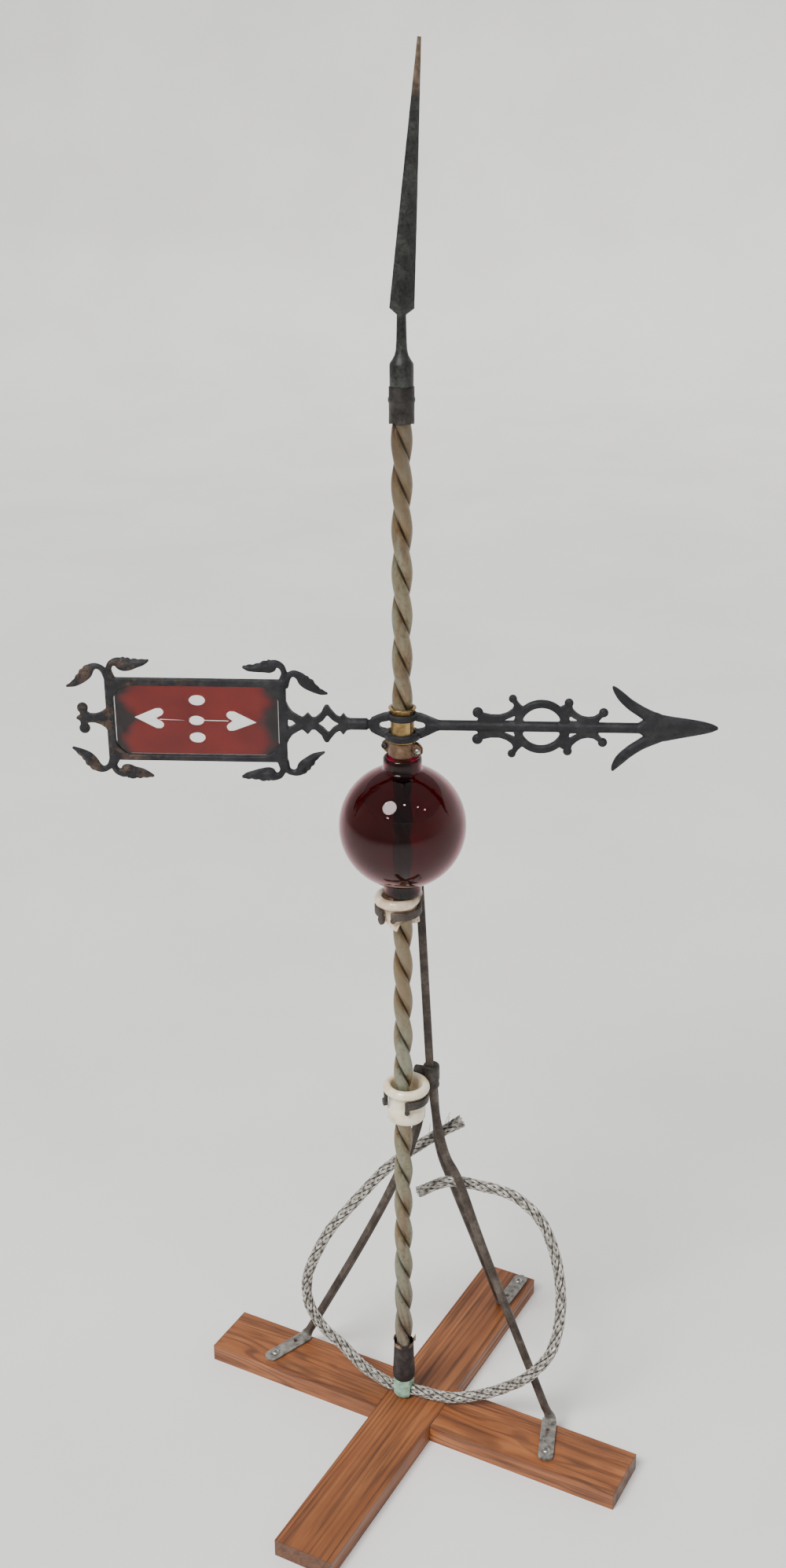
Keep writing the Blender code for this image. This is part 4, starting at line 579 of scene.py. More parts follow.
def catmull_rom(points, per_span):
    """Sample a smooth curve through points of any size."""
    points = [Vector(p) for p in points]
    padded = [2 * points[0] - points[1], *points, 2 * points[-1] - points[-2]]
    samples = []
    for i in range(1, len(padded) - 2):
        a, b, c, d = padded[i - 1:i + 3]
        for k in range(per_span):
            t = k / per_span
            samples.append(0.5 * ((2 * b) + (c - a) * t + (2 * a - 5 * b + 4 * c - d) * t ** 2
                                  + (3 * b - a - 3 * c + d) * t ** 3))
    samples.append(points[-1])
    return samples


def distances(path):
    """How far along a path each of its points lies."""
    run = [0.0]
    for a, b in zip(path, path[1:]):
        run.append(run[-1] + (b - a).length)
    return run


def evenly(points, count):
    """Space points evenly along a sampled path."""
    lengths = distances(points)
    spaced = []
    index = 0
    for k in range(count):
        target = lengths[-1] * k / (count - 1)
        while index < len(points) - 2 and lengths[index + 1] < target:
            index += 1
        span = lengths[index + 1] - lengths[index]
        spaced.append(points[index].lerp(points[index + 1], (target - lengths[index]) / span))
    return spaced


def frames(path, side=None):
    """Tangent and two cross directions at each point, carried along without twist."""
    result = []
    cross = None
    for i, point in enumerate(path):
        ahead = (path[min(i + 1, len(path) - 1)] - path[max(i - 1, 0)]).normalized()
        if side is not None:
            cross = side
        elif cross is None:
            cross = Vector((0, 0, 1)) if abs(ahead.z) < 0.9 else Vector((1, 0, 0))
        cross = (cross - ahead * cross.dot(ahead)).normalized()
        result.append((point, ahead, cross, ahead.cross(cross)))
    return result


def bar_ring(point, u, v, wide, thin, power, sides):
    """A bar's cross section at a point: round with power 1, and squarer below it."""
    ring = []
    for k in range(sides):
        t = 2 * pi * (k + 0.5) / sides
        x, y = (size * abs(f) ** power * (1 if f > 0 else -1) for size, f in ((wide, cos(t)), (thin, sin(t))))
        ring.append(point + u * x + v * y)
    return ring


def tube(path, radius, sides=24, side=None, power=1.0):
    """A bar along a path. radius is a number, a pair or a function of the share."""
    rings = []
    last = len(path) - 1
    for i, (point, _, u, v) in enumerate(frames(path, side)):
        size = radius(i / last) if callable(radius) else radius
        wide, thin = size if isinstance(size, tuple) else (size, size)
        rings.append(bar_ring(point, u, v, wide, thin, power, sides))
    return grid(rings)


def evaluated(obj):
    """A mesh of an object as its modifiers or its curve's fill leave it."""
    graph = bpy.context.evaluated_depsgraph_get()
    return bpy.data.meshes.new_from_object(obj.evaluated_get(graph))


def slab(outlines, depth, upright=True):
    """Flat outlines, the first one outer and the others holes, as a solid centred on its plane."""
    curve = bpy.data.curves.new("slab", "CURVE")
    curve.dimensions = "2D"
    curve.fill_mode = "BOTH"
    curve.extrude = depth / 2
    for outline in outlines:
        spline = curve.splines.new("POLY")
        spline.points.add(len(outline) - 1)
        for point, (x, y) in zip(spline.points, outline):
            point.co = (x, y, 0.0, 1.0)
        spline.use_cyclic_u = True
    obj = placed("slab", curve)
    mesh = evaluated(obj)
    bpy.data.objects.remove(obj)
    bm = bmesh.new()
    bm.from_mesh(mesh)
    bmesh.ops.remove_doubles(bm, verts=bm.verts, dist=0.000002)
    turn = spun(pi / 2, "X") if upright else Matrix.Identity(4)
    bm.verts.index_update()
    points = [turn @ v.co for v in bm.verts]
    faces = [tuple(v.index for v in f.verts) for f in bm.faces]
    bm.free()
    bpy.data.meshes.remove(mesh)
    return points, faces


def applied(obj):
    """Bake an object's modifiers into its mesh."""
    mesh = evaluated(obj)
    obj.modifiers.clear()
    old = obj.data
    obj.data = mesh
    bpy.data.meshes.remove(old)
    return obj


def fuse(name, shells, voxel, rounds=4, keep=0.55):
    """Melt overlapping shells into one cast body with softened edges."""
    obj = from_shells(name, shells)
    melt = obj.modifiers.new("melt", "REMESH")
    melt.mode = "VOXEL"
    melt.voxel_size = voxel
    soften = obj.modifiers.new("soften", "SMOOTH")
    soften.factor = keep
    soften.iterations = rounds
    return applied(obj)


def carve(obj, cutters):
    """Cut closed shells out of an object."""
    tools = [from_shells("cutter", [shell]) for shell in cutters]
    for tool in tools:
        cut = obj.modifiers.new("cut", "BOOLEAN")
        cut.operation = "DIFFERENCE"
        cut.solver = "EXACT"
        cut.object = tool
    applied(obj)
    for tool in tools:
        bpy.data.objects.remove(tool)
    return obj


def box_shell(size, centre=(0, 0, 0)):
    """A block as a shell, for cutting and melting."""
    x, y, z = (s / 2 for s in size)
    points = [Vector((i * x + centre[0], j * y + centre[1], k * z + centre[2]))
              for k in (-1, 1) for i, j in ((-1, -1), (1, -1), (1, 1), (-1, 1))]
    faces = [(3, 2, 1, 0), (4, 5, 6, 7), (0, 1, 5, 4), (1, 2, 6, 5), (2, 3, 7, 6), (3, 0, 4, 7)]
    return points, faces


def arc(centre, radius, start, stop, count):
    """Points on an arc in a flat outline, both ends included."""
    return [(centre[0] + radius * cos(start + (stop - start) * k / (count - 1)),
             centre[1] + radius * sin(start + (stop - start) * k / (count - 1))) for k in range(count)]


# Conductor

EXIT_OUT = Vector((cos(EXIT_YAW), sin(EXIT_YAW), 0.0))
EXIT_LEVEL = Vector((0.0, 0.0, EXIT_HEIGHT))
CABLE_SAMPLES = 190
BRAID_PITCH = 0.088
BRAID_COUNT = 8                 # flat strands each way
STRAND_WIRES = 3
BRAID_WIRE = 0.00044            # radius


def cable_path(route, side):
    """Centre line of one conductor, from inside the fitting to its free end."""
    out = EXIT_OUT * side
    ends = [EXIT_LEVEL + out * d for d in (0.0069, 0.0118)]
    route = [Vector(point) / 1000 for point in route]
    knots = evenly(catmull_rom([EXIT_LEVEL + out * 0.0154, *route], 8), 14)
    return evenly(catmull_rom([*ends, *knots], 12), CABLE_SAMPLES)


def strand(along, spacing, angle, hand, phase, spread, stop):
    """Wires side by side that wind round the cable, over and under; also a value for each point that paints shade,
    low where the wire runs under and lower on the outer wires.
    """
    shells = []
    lift_shades = []
    for w in range(STRAND_WIRES):
        shift = (w - (STRAND_WIRES - 1) / 2) * 2.0 * BRAID_WIRE
        # the outer wires of each strand get a lower value, for painted shade between the strands
        share = 1.0 if w == (STRAND_WIRES - 1) // 2 else 0.86
        rings = []
        length = 0.0
        for point, _, u, v in along[:len(along) - stop[w]]:
            lift = hand * (0.72 * sin(2 * pi * BRAID_COUNT * length / BRAID_PITCH + phase) + 0.28)
            r = 0.00480 + 0.00068 * lift + spread(length, w)
            # painted shade value: from how high the wire lies, lowered on the outer wires
            lift_shades += [(0.5 + 0.5 * lift) * share] * 4
            a = angle + 2 * pi * length / (hand * BRAID_PITCH) + shift / r
            a += 0.12 * noise.noise(Vector((length * 60, angle * 3, w)))
            normal = u * cos(a) + v * sin(a)
            sideways = v * cos(a) - u * sin(a)
            rings.append([point + normal * r + (normal * cos(t) * 0.8 + sideways * sin(t)) * BRAID_WIRE
                          for t in (0.0, pi / 2, pi, 3 * pi / 2)])
            length += spacing
        shells.append(grid(rings))
    return shells, lift_shades


def build_cable(name, route, side, frayed):
    """A round braided conductor: two sets of flat strands that cross over and under each other."""
    rng = random.Random(SEED + (1 if frayed else 2))
    path = cable_path(route, side)
    total = distances(path)[-1]
    along = frames(path)
    open_from = total - (0.022 if frayed else 0.010)
    shells = []
    lift_shades = []
    for hand in (1, -1):
        for k in range(BRAID_COUNT):
            angle = 2 * pi * (k + (0.25 if hand > 0 else 0.0)) / BRAID_COUNT
            lean = [rng.uniform(0.2, 1.0) for _ in range(STRAND_WIRES)]

            def spread(length, w, lean=lean):
                grown = max(0.0, (length - open_from) / (total - open_from))
                return grown ** 2 * lean[w] * (0.0016 if frayed else 0.0007)

            stops = [rng.choice((0, 0, 1, 2)) for _ in range(STRAND_WIRES)]
            wires, strand_shades = strand(along, total / (len(path) - 1), angle, hand, pi * k, spread, stops)
            shells += wires
            lift_shades += strand_shades
    braid = piece(name + "_braid", shells, "bare_wire", None, "braid", None)
    shade_by(braid, "lift", lift_shades)
    core_path = path[:-2] if frayed else path[:-1]
    # dark core inside the braid, a painted shade that shows through the gaps
    core = piece(name + "_core", [tube(core_path, 0.0045, 20)], "braid_shade_core", name, "braid", 50)
    ends = []
    point, ahead, u, v = along[-1]
    flare = 1.15 if frayed else 1.02
    for ring, (r, wires) in enumerate(((0.0014, 6), (0.0029, 12), (0.0043, 18))):
        for k in range(wires):
            a = 2 * pi * (k + 0.4 * ring) / wires
            foot = point + (u * cos(a) + v * sin(a)) * r - ahead * 0.010
            tip = point + (u * cos(a + 0.2) + v * sin(a + 0.2)) * r * flare
            tip -= ahead * rng.uniform(0.0, 0.0016)
            ends.append(tube([foot, foot.lerp(tip, 0.5), tip], 0.00055, 8))
    for k in range(7 if frayed else 0):
        start = along[-7 - 2 * k]
        a = rng.uniform(1.2, 3.6)
        normal = start[2] * cos(a) + start[3] * sin(a)
        curl = [start[0] + normal * 0.0052]
        drift = normal * 0.004 + start[1] * rng.uniform(-0.004, 0.003) + Vector((0, 0, 0.0015))
        for _ in range(4):
            drift = drift + Vector((rng.uniform(-1, 1), rng.uniform(-1, 1), rng.uniform(-1, 1))) * 0.0018
            curl.append(curl[-1] + drift * 0.42)
        ends.append(tube(catmull_rom(curl, 4), 0.00034, 6))
    loose = piece(name + "_wires", ends, "bare_wire", None, "braid", None)
    shade_by(loose, "lift", [0.6] * len(loose.data.vertices))


# Foot, rod and point

def build_rod():
    """Two round lobes side by side, wound left-handed about the axis."""
    lobe = 0.0066
    offset = 0.0025
    half = pi - atan2(sqrt(lobe ** 2 - offset ** 2), offset)
    right = arc((offset, 0.0), lobe, -half, half, 25)
    section = right[:-1] + [(-x, -y) for x, y in right[:-1]]
    from_groove = [abs(abs(atan2(y, x)) - pi / 2) for x, y in section]
    rings = []
    levels = 460
    for k in range(levels + 1):
        rise = (ROD_TOP - ROD_FOOT) * k / levels
        turn = radians(125) - 2 * pi * rise / ROD_PITCH
        c = cos(turn)
        s = sin(turn)
        ring = []
        for (x, y), off in zip(section, from_groove):
            dent = 1.0 - 0.02 * max(0.0, noise.noise(Vector((x * 90 * c, y * 90, rise * 28))))
            dent -= 0.17 * exp(-(off / 0.20) ** 2)
            ring.append(Vector(((x * c - y * s) * dent, (x * s + y * c) * dent, ROD_FOOT + rise)))
        rings.append(ring)
    rod = piece("twisted_rod", [grid(rings)], "weathered_copper", "rod", "weathered_copper", 60)
    # nearness to a groove, which the copper turns into painted shade in the grooves and a painted highlight on the
    # crests
    shade_by(rod, "groove", [exp(-(off / 0.32) ** 2) for off in from_groove] * (levels + 1))


def build_fitting():
    """Copper fitting folded round the conductor, and the lapped sleeve over the rod's foot."""
    r = 0.0103
    profile = [(0.0, 0.0240), (r - 0.0010, 0.0240), (r - 0.0002, 0.0233), (r, 0.0190), (r, 0.0120), (r, 0.0086),
               (0.96 * r, 0.0050), (0.88 * r, 0.0026), (0.74 * r, 0.0008), (0.55 * r, 0.0), (0.0, 0.0)]
    fine = [tuple(p) for p in catmull_rom(profile, 4)]

    def shape(radius, z, a):
        if radius < 0.002:
            return radius, z
        off = abs(((a - EXIT_YAW + pi / 2) % pi) - pi / 2)
        ridge = exp(-((off - 0.66) / 0.10) ** 2) * 0.00055
        hollow = 0.0011 * max(0.0, 1 - (off / 0.60) ** 4) if z < 0.019 else 0.0
        bump = 0.00035 * noise.noise(Vector((cos(a) * 3, sin(a) * 3, z * 260)))
        share = min(1.0, radius / 0.008)
        return radius + (ridge - hollow + bump) * share, z

    fitting = from_shells("fitting_shell", [moved(lathe(fine, 96, shape=shape), at(0, 0, FITTING_FOOT))])
    outward(fitting.data, 0.00002)
    sockets = []
    for side in (-1, 1):
        out = EXIT_OUT * side
        sockets.append(tube([EXIT_LEVEL + out * d for d in (0.0066, 0.0140, 0.0200)], 0.0063, 32))
    carve(fitting, sockets)
    dress(fitting, "verdigris", "foot_fitting", "verdigris", 40)

    height = 0.0455
    inner = 0.0094

    def wrap(radius, z, a):
        if radius <= inner + 1e-6:
            return radius, z
        lap = 0.00035 * (1 if 0.4 < (a % (2 * pi)) < 2.6 else 0)
        ragged = 0.0010 * noise.noise(Vector((cos(a) * 4, sin(a) * 4, 2.0)))
        swell = 0.00022 * noise.noise(Vector((cos(a) * 2, sin(a) * 2, z * 120)))
        return radius + lap + swell, z + (ragged if z > 0.9 * height else 0.0)

    profile = [(inner, height - 0.0012), (0.0098, height - 0.0012), (0.0101, 0.80 * height), (0.0104, 0.55 * height),
               (0.0109, 0.36 * height), (0.0112, 0.16 * height), (0.0111, 0.05 * height), (0.0106, 0.0),
               (inner, 0.0)]
    piece("sleeve_wrap", [moved(lathe(profile, 96, shape=wrap), at(0, 0, ROD_FOOT))],
          "lapped_sheet", "foot_sleeve", "sleeve_wrap", 40)

    top = ROD_FOOT + height
    shells = []
    for start, width, tall, lean in ((-2.75, 0.95, 0.0016, 0.0008), (-1.05, 0.75, 0.0022, 0.0010),
                                     (-0.55, 0.50, 0.0075, 0.0016), (-0.02, 0.42, 0.0058, 0.0022),
                                     (0.95, 0.9, 0.0024, 0.0008), (2.2, 0.8, 0.0030, 0.0010)):
        rings = []
        for k in range(13):
            s = k / 12
            a = start + width * s
            edge = tall * sin(pi * s) ** 0.6 * (1 + 0.35 * noise.noise(Vector((a * 9, 1, 5))))
            ring = []
            for rise, out in ((-0.0035, 0.0), (0.0, 0.0003), (edge * 0.6, lean * 0.7), (edge, lean)):
                ring.append((0.0100 + out, top - 0.0012 + rise, a))
            back = [(radius - 0.0004, z, a) for radius, z, a in ring[::-1]]
            rings.append([around(*point) for point in ring + back])
        shells.append(grid(rings))
    piece("sleeve_petals", shells, "torn_copper", None, "weathered_copper", 50)


def build_point():
    """Lapped collar with a bead and torn lower edge, and the cap, neck and blade of the point."""
    inner = 0.0095
    h = 0.0306

    def torn(radius, z, a):
        if z < 0.004:
            z += 0.0022 * max(0.0, noise.noise(Vector((cos(a) * 2.5, sin(a) * 2.5, 9.0)))) + 0.0006
            if radius > inner:
                radius += 0.0003 * noise.noise(Vector((a * 5, 0, 1)))
        return radius, z

    profile = [(inner, h), (0.0103, h), (0.0106, h - 0.0006), (0.0106, 0.74 * h), (0.0112, 0.69 * h),
               (0.0113, 0.65 * h), (0.0112, 0.61 * h), (0.0106, 0.57 * h), (0.0105, 0.30 * h), (0.0106, 0.08 * h),
               (0.0105, 0.0), (inner, 0.0)]
    collar = lathe(profile, 96, shape=torn)
    tab = box_shell((0.0030, 0.0009, 0.0085), (0.0020, -0.0109, 0.0060))
    piece("collar_wrap", [moved(shell, at(0, 0, COLLAR_FOOT)) for shell in (collar, tab)], "point_sheet",
          "point_collar", "dark_copper", 40)

    neck_top = 0.0583
    cap = [(0.0, neck_top), (0.0038, neck_top), (0.0040, 0.048), (0.0043, 0.036), (0.0048, 0.0285),
           (0.0058, 0.0245), (0.0080, 0.0205), (0.0094, 0.0186), (0.0099, 0.0170), (0.0099, 0.0060),
           (0.0098, 0.0), (inner, 0.0), (inner, 0.0160), (0.0, 0.0160)]
    shells = [moved(lathe(cap, 64), at(0, 0, CAP_FOOT))]
    rings = []
    length = 0.2055
    for k in range(41):
        s = k / 40
        rise = length * s
        if rise < 0.0050:
            share = rise / 0.0050
            half = 0.0038 + (0.0106 - 0.0038) * share ** 0.75
            thick = 0.0030 + 0.0012 * share
        else:
            share = (rise - 0.0050) / (length - 0.0050)
            half = 0.0106 + (0.0016 - 0.0106) * share ** 1.04
            thick = 0.0042 + (0.0013 - 0.0042) * share
        nick = 1 + 0.02 * noise.noise(Vector((rise * 160, 3, 1)))
        ring = [(x * half * nick, y * thick)
                for x, y in ((1, 0), (0.985, 0.10), (0.55, 0.62), (0.10, 0.97), (0, 1))]
        quarter = ring[:-1]
        full = quarter + [(-x, y) for x, y in ring[::-1][:-1]]
        full += [(-x, -y) for x, y in quarter] + [(x, -y) for x, y in ring[::-1][:-1]]
        rings.append([Vector((x, y, rise)) for x, y in full])
    lean = spun(radians(3.9), "Y") @ spun(radians(18))
    shells.append(moved(grid(rings), at(0, 0, CAP_FOOT + neck_top - 0.0020) @ lean))
    spear = from_shells("spear_blade", shells)
    outward(spear.data, 0.000005)
    dress(spear, "gunmetal", "spear_point", "dark_copper", 30)


# Insulators and ball

def insulator_column(low):
    """Closed profile of an insulator down to height low, its top at nought."""
    bore = 0.01435
    foot = -0.0385
    crown = [(0.0151, -0.0016), (0.0165, -0.0003), (0.0186, 0.0), (0.0205, -0.0008), (0.0220, -0.0030),
             (0.0224, -0.0055), (0.0216, -0.0079), (0.0198, -0.0092), (0.0179, -0.0099), (0.0171, -0.0112)]
    waist = [(0.0170, -0.0150), (0.0170, -0.0225), (0.0174, -0.0243), (0.0182, -0.0256), (0.0184, -0.0275),
             (0.0184, -0.0330), (0.0181, -0.0370), (0.0172, foot)]
    sides = [(r, max(z, low)) for r, z in waist]
    return crown + sides + [(bore, max(foot, low)), (bore, -0.0050)]


def build_insulators():
    """The whole lower insulator, and the upper one broken away at the front and the right."""
    piece("insulator_glazed", [moved(lathe(insulator_column(-1.0), 96), at(*LOWER_LIP))],
          "porcelain", "insulator_lower", "porcelain", 50)

    skirt = [(-180, -0.0195), (-150, -0.0190), (-136, -0.0190), (-128, -0.0232), (-119, -0.0266), (-108, -0.0292),
             (-98, -0.0306), (-93, -0.0262), (-86, -0.0222), (-60, -0.0205), (-36, -0.0212), (-26, -0.0262),
             (-16, -0.0250), (-10, -0.0290), (8, -0.0300), (24, -0.0350), (60, -0.0385), (120, -0.0385),
             (150, -0.0330), (165, -0.0240), (180, -0.0195)]
    lip = [(-180, -0.0115), (-88, -0.0115), (-70, -0.0098), (-55, -0.0080), (-40, -0.0055), (-28, -0.0030),
           (-19, -0.0012), (14, -0.0012), (34, -0.0060), (48, -0.0115), (180, -0.0115)]

    def level(table, a, grain):
        deg = (a * 180 / pi + 180) % 360 - 180
        for (a0, z0), (a1, z1) in zip(table, table[1:]):
            if deg <= a1:
                return z0 + (z1 - z0) * (deg - a0) / (a1 - a0) + grain * noise.noise(Vector((a * 9, 4, 2)))
        return table[-1][1]

    steps = 144
    rings = []
    for k in range(steps):
        a = 2 * pi * k / steps
        chip = level(lip, a, 0.0003)
        column = insulator_column(level(skirt, a, 0.0006))
        column = [(r, max(z, chip) if r > 0.01701 and z > -0.0116 else z) for r, z in column]
        rings.append([around(r, z, a) for r, z in column])
    place = at(*UPPER_LIP) @ spun(UPPER_TILT, "Y")
    piece("insulator_broken", [moved(grid(rings, loop=True), place)],
          "aged_porcelain", "insulator_upper", "aged_porcelain", 50)


def build_ball():
    """Blown ball with thick walls and a neck at each pole."""
    wall = 0.0036
    inner = BALL_RADIUS - wall
    neck = 0.0172
    bore = neck - wall
    start = atan2(neck, sqrt(BALL_RADIUS ** 2 - neck ** 2)) + 0.030
    inner_start = atan2(bore, sqrt(inner ** 2 - bore ** 2)) + 0.020
    top = [(bore + 0.0006, BALL_POLE - 0.0006), (bore + 0.0014, BALL_POLE), (neck - 0.0016, BALL_POLE),
           (neck - 0.0005, BALL_POLE - 0.0006), (neck, BALL_POLE - 0.0018), (neck, BALL_POLE - 0.0060),
           (neck - 0.0001, BALL_RADIUS * cos(start) + 0.0018), (neck + 0.0004, BALL_RADIUS * cos(start) + 0.0006)]
    steps = 60
    outer = [(BALL_RADIUS * sin(a), BALL_RADIUS * cos(a))
             for a in (start + (pi - 2 * start) * k / steps for k in range(steps + 1))]
    low = [(r, -z) for r, z in top[::-1]]
    hollow = [(inner * sin(a), -inner * cos(a))
              for a in (inner_start + (pi - 2 * inner_start) * k / steps for k in range(steps + 1))]
    shell = lathe(top + outer + low + hollow, 128)
    piece("blown_ball", [moved(shell, at(0, 0, BALL_CENTRE))],
          "ruby_ball", "glass_ball", "ball_glass", None)


# Bracket, bar and legs

STRAP_DROP = 0.0109             # from an insulator's lip down to its strap
STRAP_HEIGHT = 0.0080
ARM_DROP = 0.0149               # and down to the arm


def strap_shells(lip, gap, finger, plate):
    """Split strap round a waist, its front finger and the knob or plate at its left end."""
    high = lip[2] - STRAP_DROP
    low = high - STRAP_HEIGHT
    start = gap[1] - 2 * pi
    stop = gap[0]
    outline = arc((0, 0), 0.0218, start, stop, 48) + arc((0, 0), 0.0188, stop, start, 48)
    shells = [moved(slab([outline], STRAP_HEIGHT, upright=False), at(lip[0], lip[1], (high + low) / 2))]
    a = start + 0.10
    x = lip[0] + 0.0203 * cos(a)
    y = lip[1] + 0.0203 * sin(a)
    place = at(x, y, (high + low - finger) / 2) @ spun(a + pi / 2)
    shells.append(moved(box_shell((0.0044, 0.0027, high - low + finger - 0.0010)), place))
    shells.append(tube([Vector((x, y, low - finger + 0.0016)) + around(1, 0, a) * d for d in (-0.0013, 0.0016)],
                       0.0026, 20))
    b = stop - 0.12
    if plate:
        for rise, turn, tall in ((0.0046, -0.10, 0.0040), (-0.0030, 0.04, 0.0048)):
            out = around(1, 0, b + turn)
            centre = Vector((lip[0], lip[1], low + 0.0016 + rise))
            shells.append(tube([centre + out * 0.0190, centre + out * 0.0226], (tall, 0.0034), 20, UP))
    else:
        out = around(1, 0, b)
        centre = Vector((lip[0], lip[1], low + 0.0008))
        shells.append(tube([centre + out * 0.0191, centre + out * 0.0234], 0.0040, 20))
    return shells


def arm_shell(lip, target):
    """The arm from a strap to what carries it."""
    level = lip[2] - ARM_DROP
    a = Vector((lip[0], lip[1], level))
    b = Vector((target[0], target[1], level))
    out = (b - a).normalized()
    return tube([a + out * 0.0200, b], (0.0031, 0.0034), 20, UP.cross(out), 0.6)


BAR_FOOT = Vector((0.0260, 0.0262, 0.3910))
BAR_TOP = Vector((0.0155, 0.0260, 0.5903))
COLLAR_AT = (0.0272, 0.0262)
COLLAR_LOW = 0.3737
BOSS_OUT = around(1, 0, radians(163))
LEG_FOOT = 0.0224               # height where each leg bends into its foot plate
BAR_SQUARE = 0.35               # power that makes a cross section nearly square
FOOT_HOLE = 0.0120              # from a foot plate's round end to its screw


def build_bracket():
    """Cast collar with boss, rear socket and lower strap, then the climbing bar and the upper strap."""
    x, y = COLLAR_AT
    low = COLLAR_LOW
    high = low + 0.0250
    body = [(0.0, high), (0.0066, high), (0.0078, high - 0.0010), (0.0081, high - 0.0040), (0.0076, high - 0.0070),
            (0.0076, low + 0.0060), (0.0081, low + 0.0030), (0.0078, low + 0.0006), (0.0068, low), (0.0, low)]
    shells = [moved(lathe(body, 40), at(x, y, 0))]
    boss = Vector((x, y, low + 0.0155))
    shells.append(tube([boss, boss + BOSS_OUT * 0.0160, boss + BOSS_OUT * 0.0172],
                       lambda s: 0.0058 if s < 0.9 else 0.0048, 28))
    rear = Vector((x + 0.0024, y + 0.0096, low))
    shells.append(tube([rear + Vector((0, 0, z)) for z in (0.0005, 0.0030, 0.0140, 0.0155)],
                       lambda s: 0.0060 if 0.1 < s < 0.9 else 0.0052, 28))
    shells += strap_shells(LOWER_LIP, (radians(203), radians(266)), 0.0046, False)
    shells.append(arm_shell(LOWER_LIP, COLLAR_AT))
    collar = fuse("bracket_cast", shells, 0.00055, 4)
    dress(collar, "bracket_casting", "bracket_collar", "bracket_iron", None)

    spine = [BAR_FOOT, BAR_FOOT.lerp(BAR_TOP, 0.33), BAR_FOOT.lerp(BAR_TOP, 0.66), BAR_TOP]
    shells = [tube(spine, 0.0040, 24, Vector((1, 0, 0)), BAR_SQUARE)]
    share = (UPPER_LIP[2] - ARM_DROP - BAR_FOOT.z) / (BAR_TOP.z - BAR_FOOT.z)
    joint = BAR_FOOT.lerp(BAR_TOP, share)
    shells += strap_shells(UPPER_LIP, (radians(228), radians(251)), 0.0018, True)
    shells.append(arm_shell(UPPER_LIP, (joint.x, joint.y)))
    bar = fuse("bar_and_strap", shells, 0.00060, 4)
    dress(bar, "rusty_bar", "upper_bar", "rusty_iron", None)


def build_legs():
    """Three legs, each drawn out flat into a foot plate with a round end, an empty hole and a screw."""
    low = COLLAR_LOW
    boss = Vector((*COLLAR_AT, 0.0)) + BOSS_OUT * 0.01165
    tops = {"leg_left": (boss.x, boss.y, low + 0.0155), "leg_right": (0.0286, 0.0262, low + 0.0077),
            "leg_back": (0.0296, 0.0358, low + 0.0077)}
    bends = {"leg_left": [(0.0140, 0.0290, 0.3280), (-0.0080, 0.0390, 0.2560), (-0.0450, 0.0580, 0.1610)],
             "leg_right": [(0.0335, 0.0235, 0.3320), (0.0420, 0.0188, 0.2980), (0.0560, 0.0115, 0.2700),
                           (0.0830, -0.0031, 0.1914)],
             "leg_back": [(0.0322, 0.0370, 0.3320), (0.0370, 0.0436, 0.2870), (0.0535, 0.0655, 0.2230)]}
    feet = {"leg_left": ((-0.1455, 0.0512), (-0.1045, 0.0880)), "leg_right": ((0.1388, -0.0962), (0.1473, -0.0400)),
            "leg_back": ((0.1348, 0.1868), (0.1075, 0.1378))}
    for name, (end, leg) in feet.items():
        square = name == "leg_left"
        top = Vector(tops[name])
        mouth = top - Vector((0, 0, 0.012))
        foot = Vector((*leg, LEG_FOOT))
        upper = catmull_rom([mouth, *bends[name], foot], 14)
        along = Vector((end[0] - leg[0], end[1] - leg[1], 0.0))
        reach = along.length
        along.normalize()
        plate_level = Vector((0, 0, DECK + 0.0003 + 0.0016 - LEG_FOOT))
        eased = [p for p in upper if (p - foot).length > 0.010]
        plate = [foot + plate_level + along * d for d in (0.0015, 0.0050)]
        count = 18
        plate += [foot + plate_level + along * (0.0050 + (reach - 0.0050) * (k / count)) for k in range(1, count + 1)]
        # the leg turns gently into the plate
        turn = [eased[-1], foot + UP * 0.0016 - along * 0.0010, plate[0]]
        path = [top, *eased, *catmull_rom(turn, 4)[1:], *plate[1:]]
        lengths = distances(path)
        total = lengths[-1]
        flat_from = total - reach - 0.0090
        flat_to = total - reach + 0.0040
        half = 0.0076

        def size(i):
            s = lengths[i]
            near = min(1.0, max(0.0, (s - flat_from) / (flat_to - flat_from)))
            near = near * near * (3 - 2 * near)
            bar = 0.0037 if square else 0.0042
            wide = bar + (half - bar) * near
            thin = bar + (0.0015 - bar) * near
            left = total - s
            if left < half:
                wide *= max(0.01, 1 - ((half - left) / half) ** 2.6) ** 0.45
            return wide, thin, near

        side = Vector((-along.y, along.x, 0.0))
        rings = []
        for i, (point, _, u, v) in enumerate(frames(path, side)):
            wide, thin, near = size(i)
            power = (BAR_SQUARE if square else 1.0) * (1 - near) + BAR_SQUARE * near
            rings.append(bar_ring(point, u, v, wide, thin, power, 28))
        bar = from_shells(name + "_forged", [grid(rings)])
        holes = []
        for distance in (reach - FOOT_HOLE, 0.28 * reach):
            spot = foot + along * distance
            holes.append(tube([Vector((spot.x, spot.y, z)) for z in (DECK - 0.002, DECK + 0.012)], 0.0023, 24))
        carve(bar, holes)
        dress(bar, "grey_bar", name, "rusty_iron")
        spot = foot + along * (reach - FOOT_HOLE)
        screw_head(name.replace("leg", "foot_screw"), Vector((spot.x, spot.y, DECK + 0.0035)), UP,
                   "screw_steel", radius=0.0041, height=0.0021, shank=0.0017, depth=0.0150)


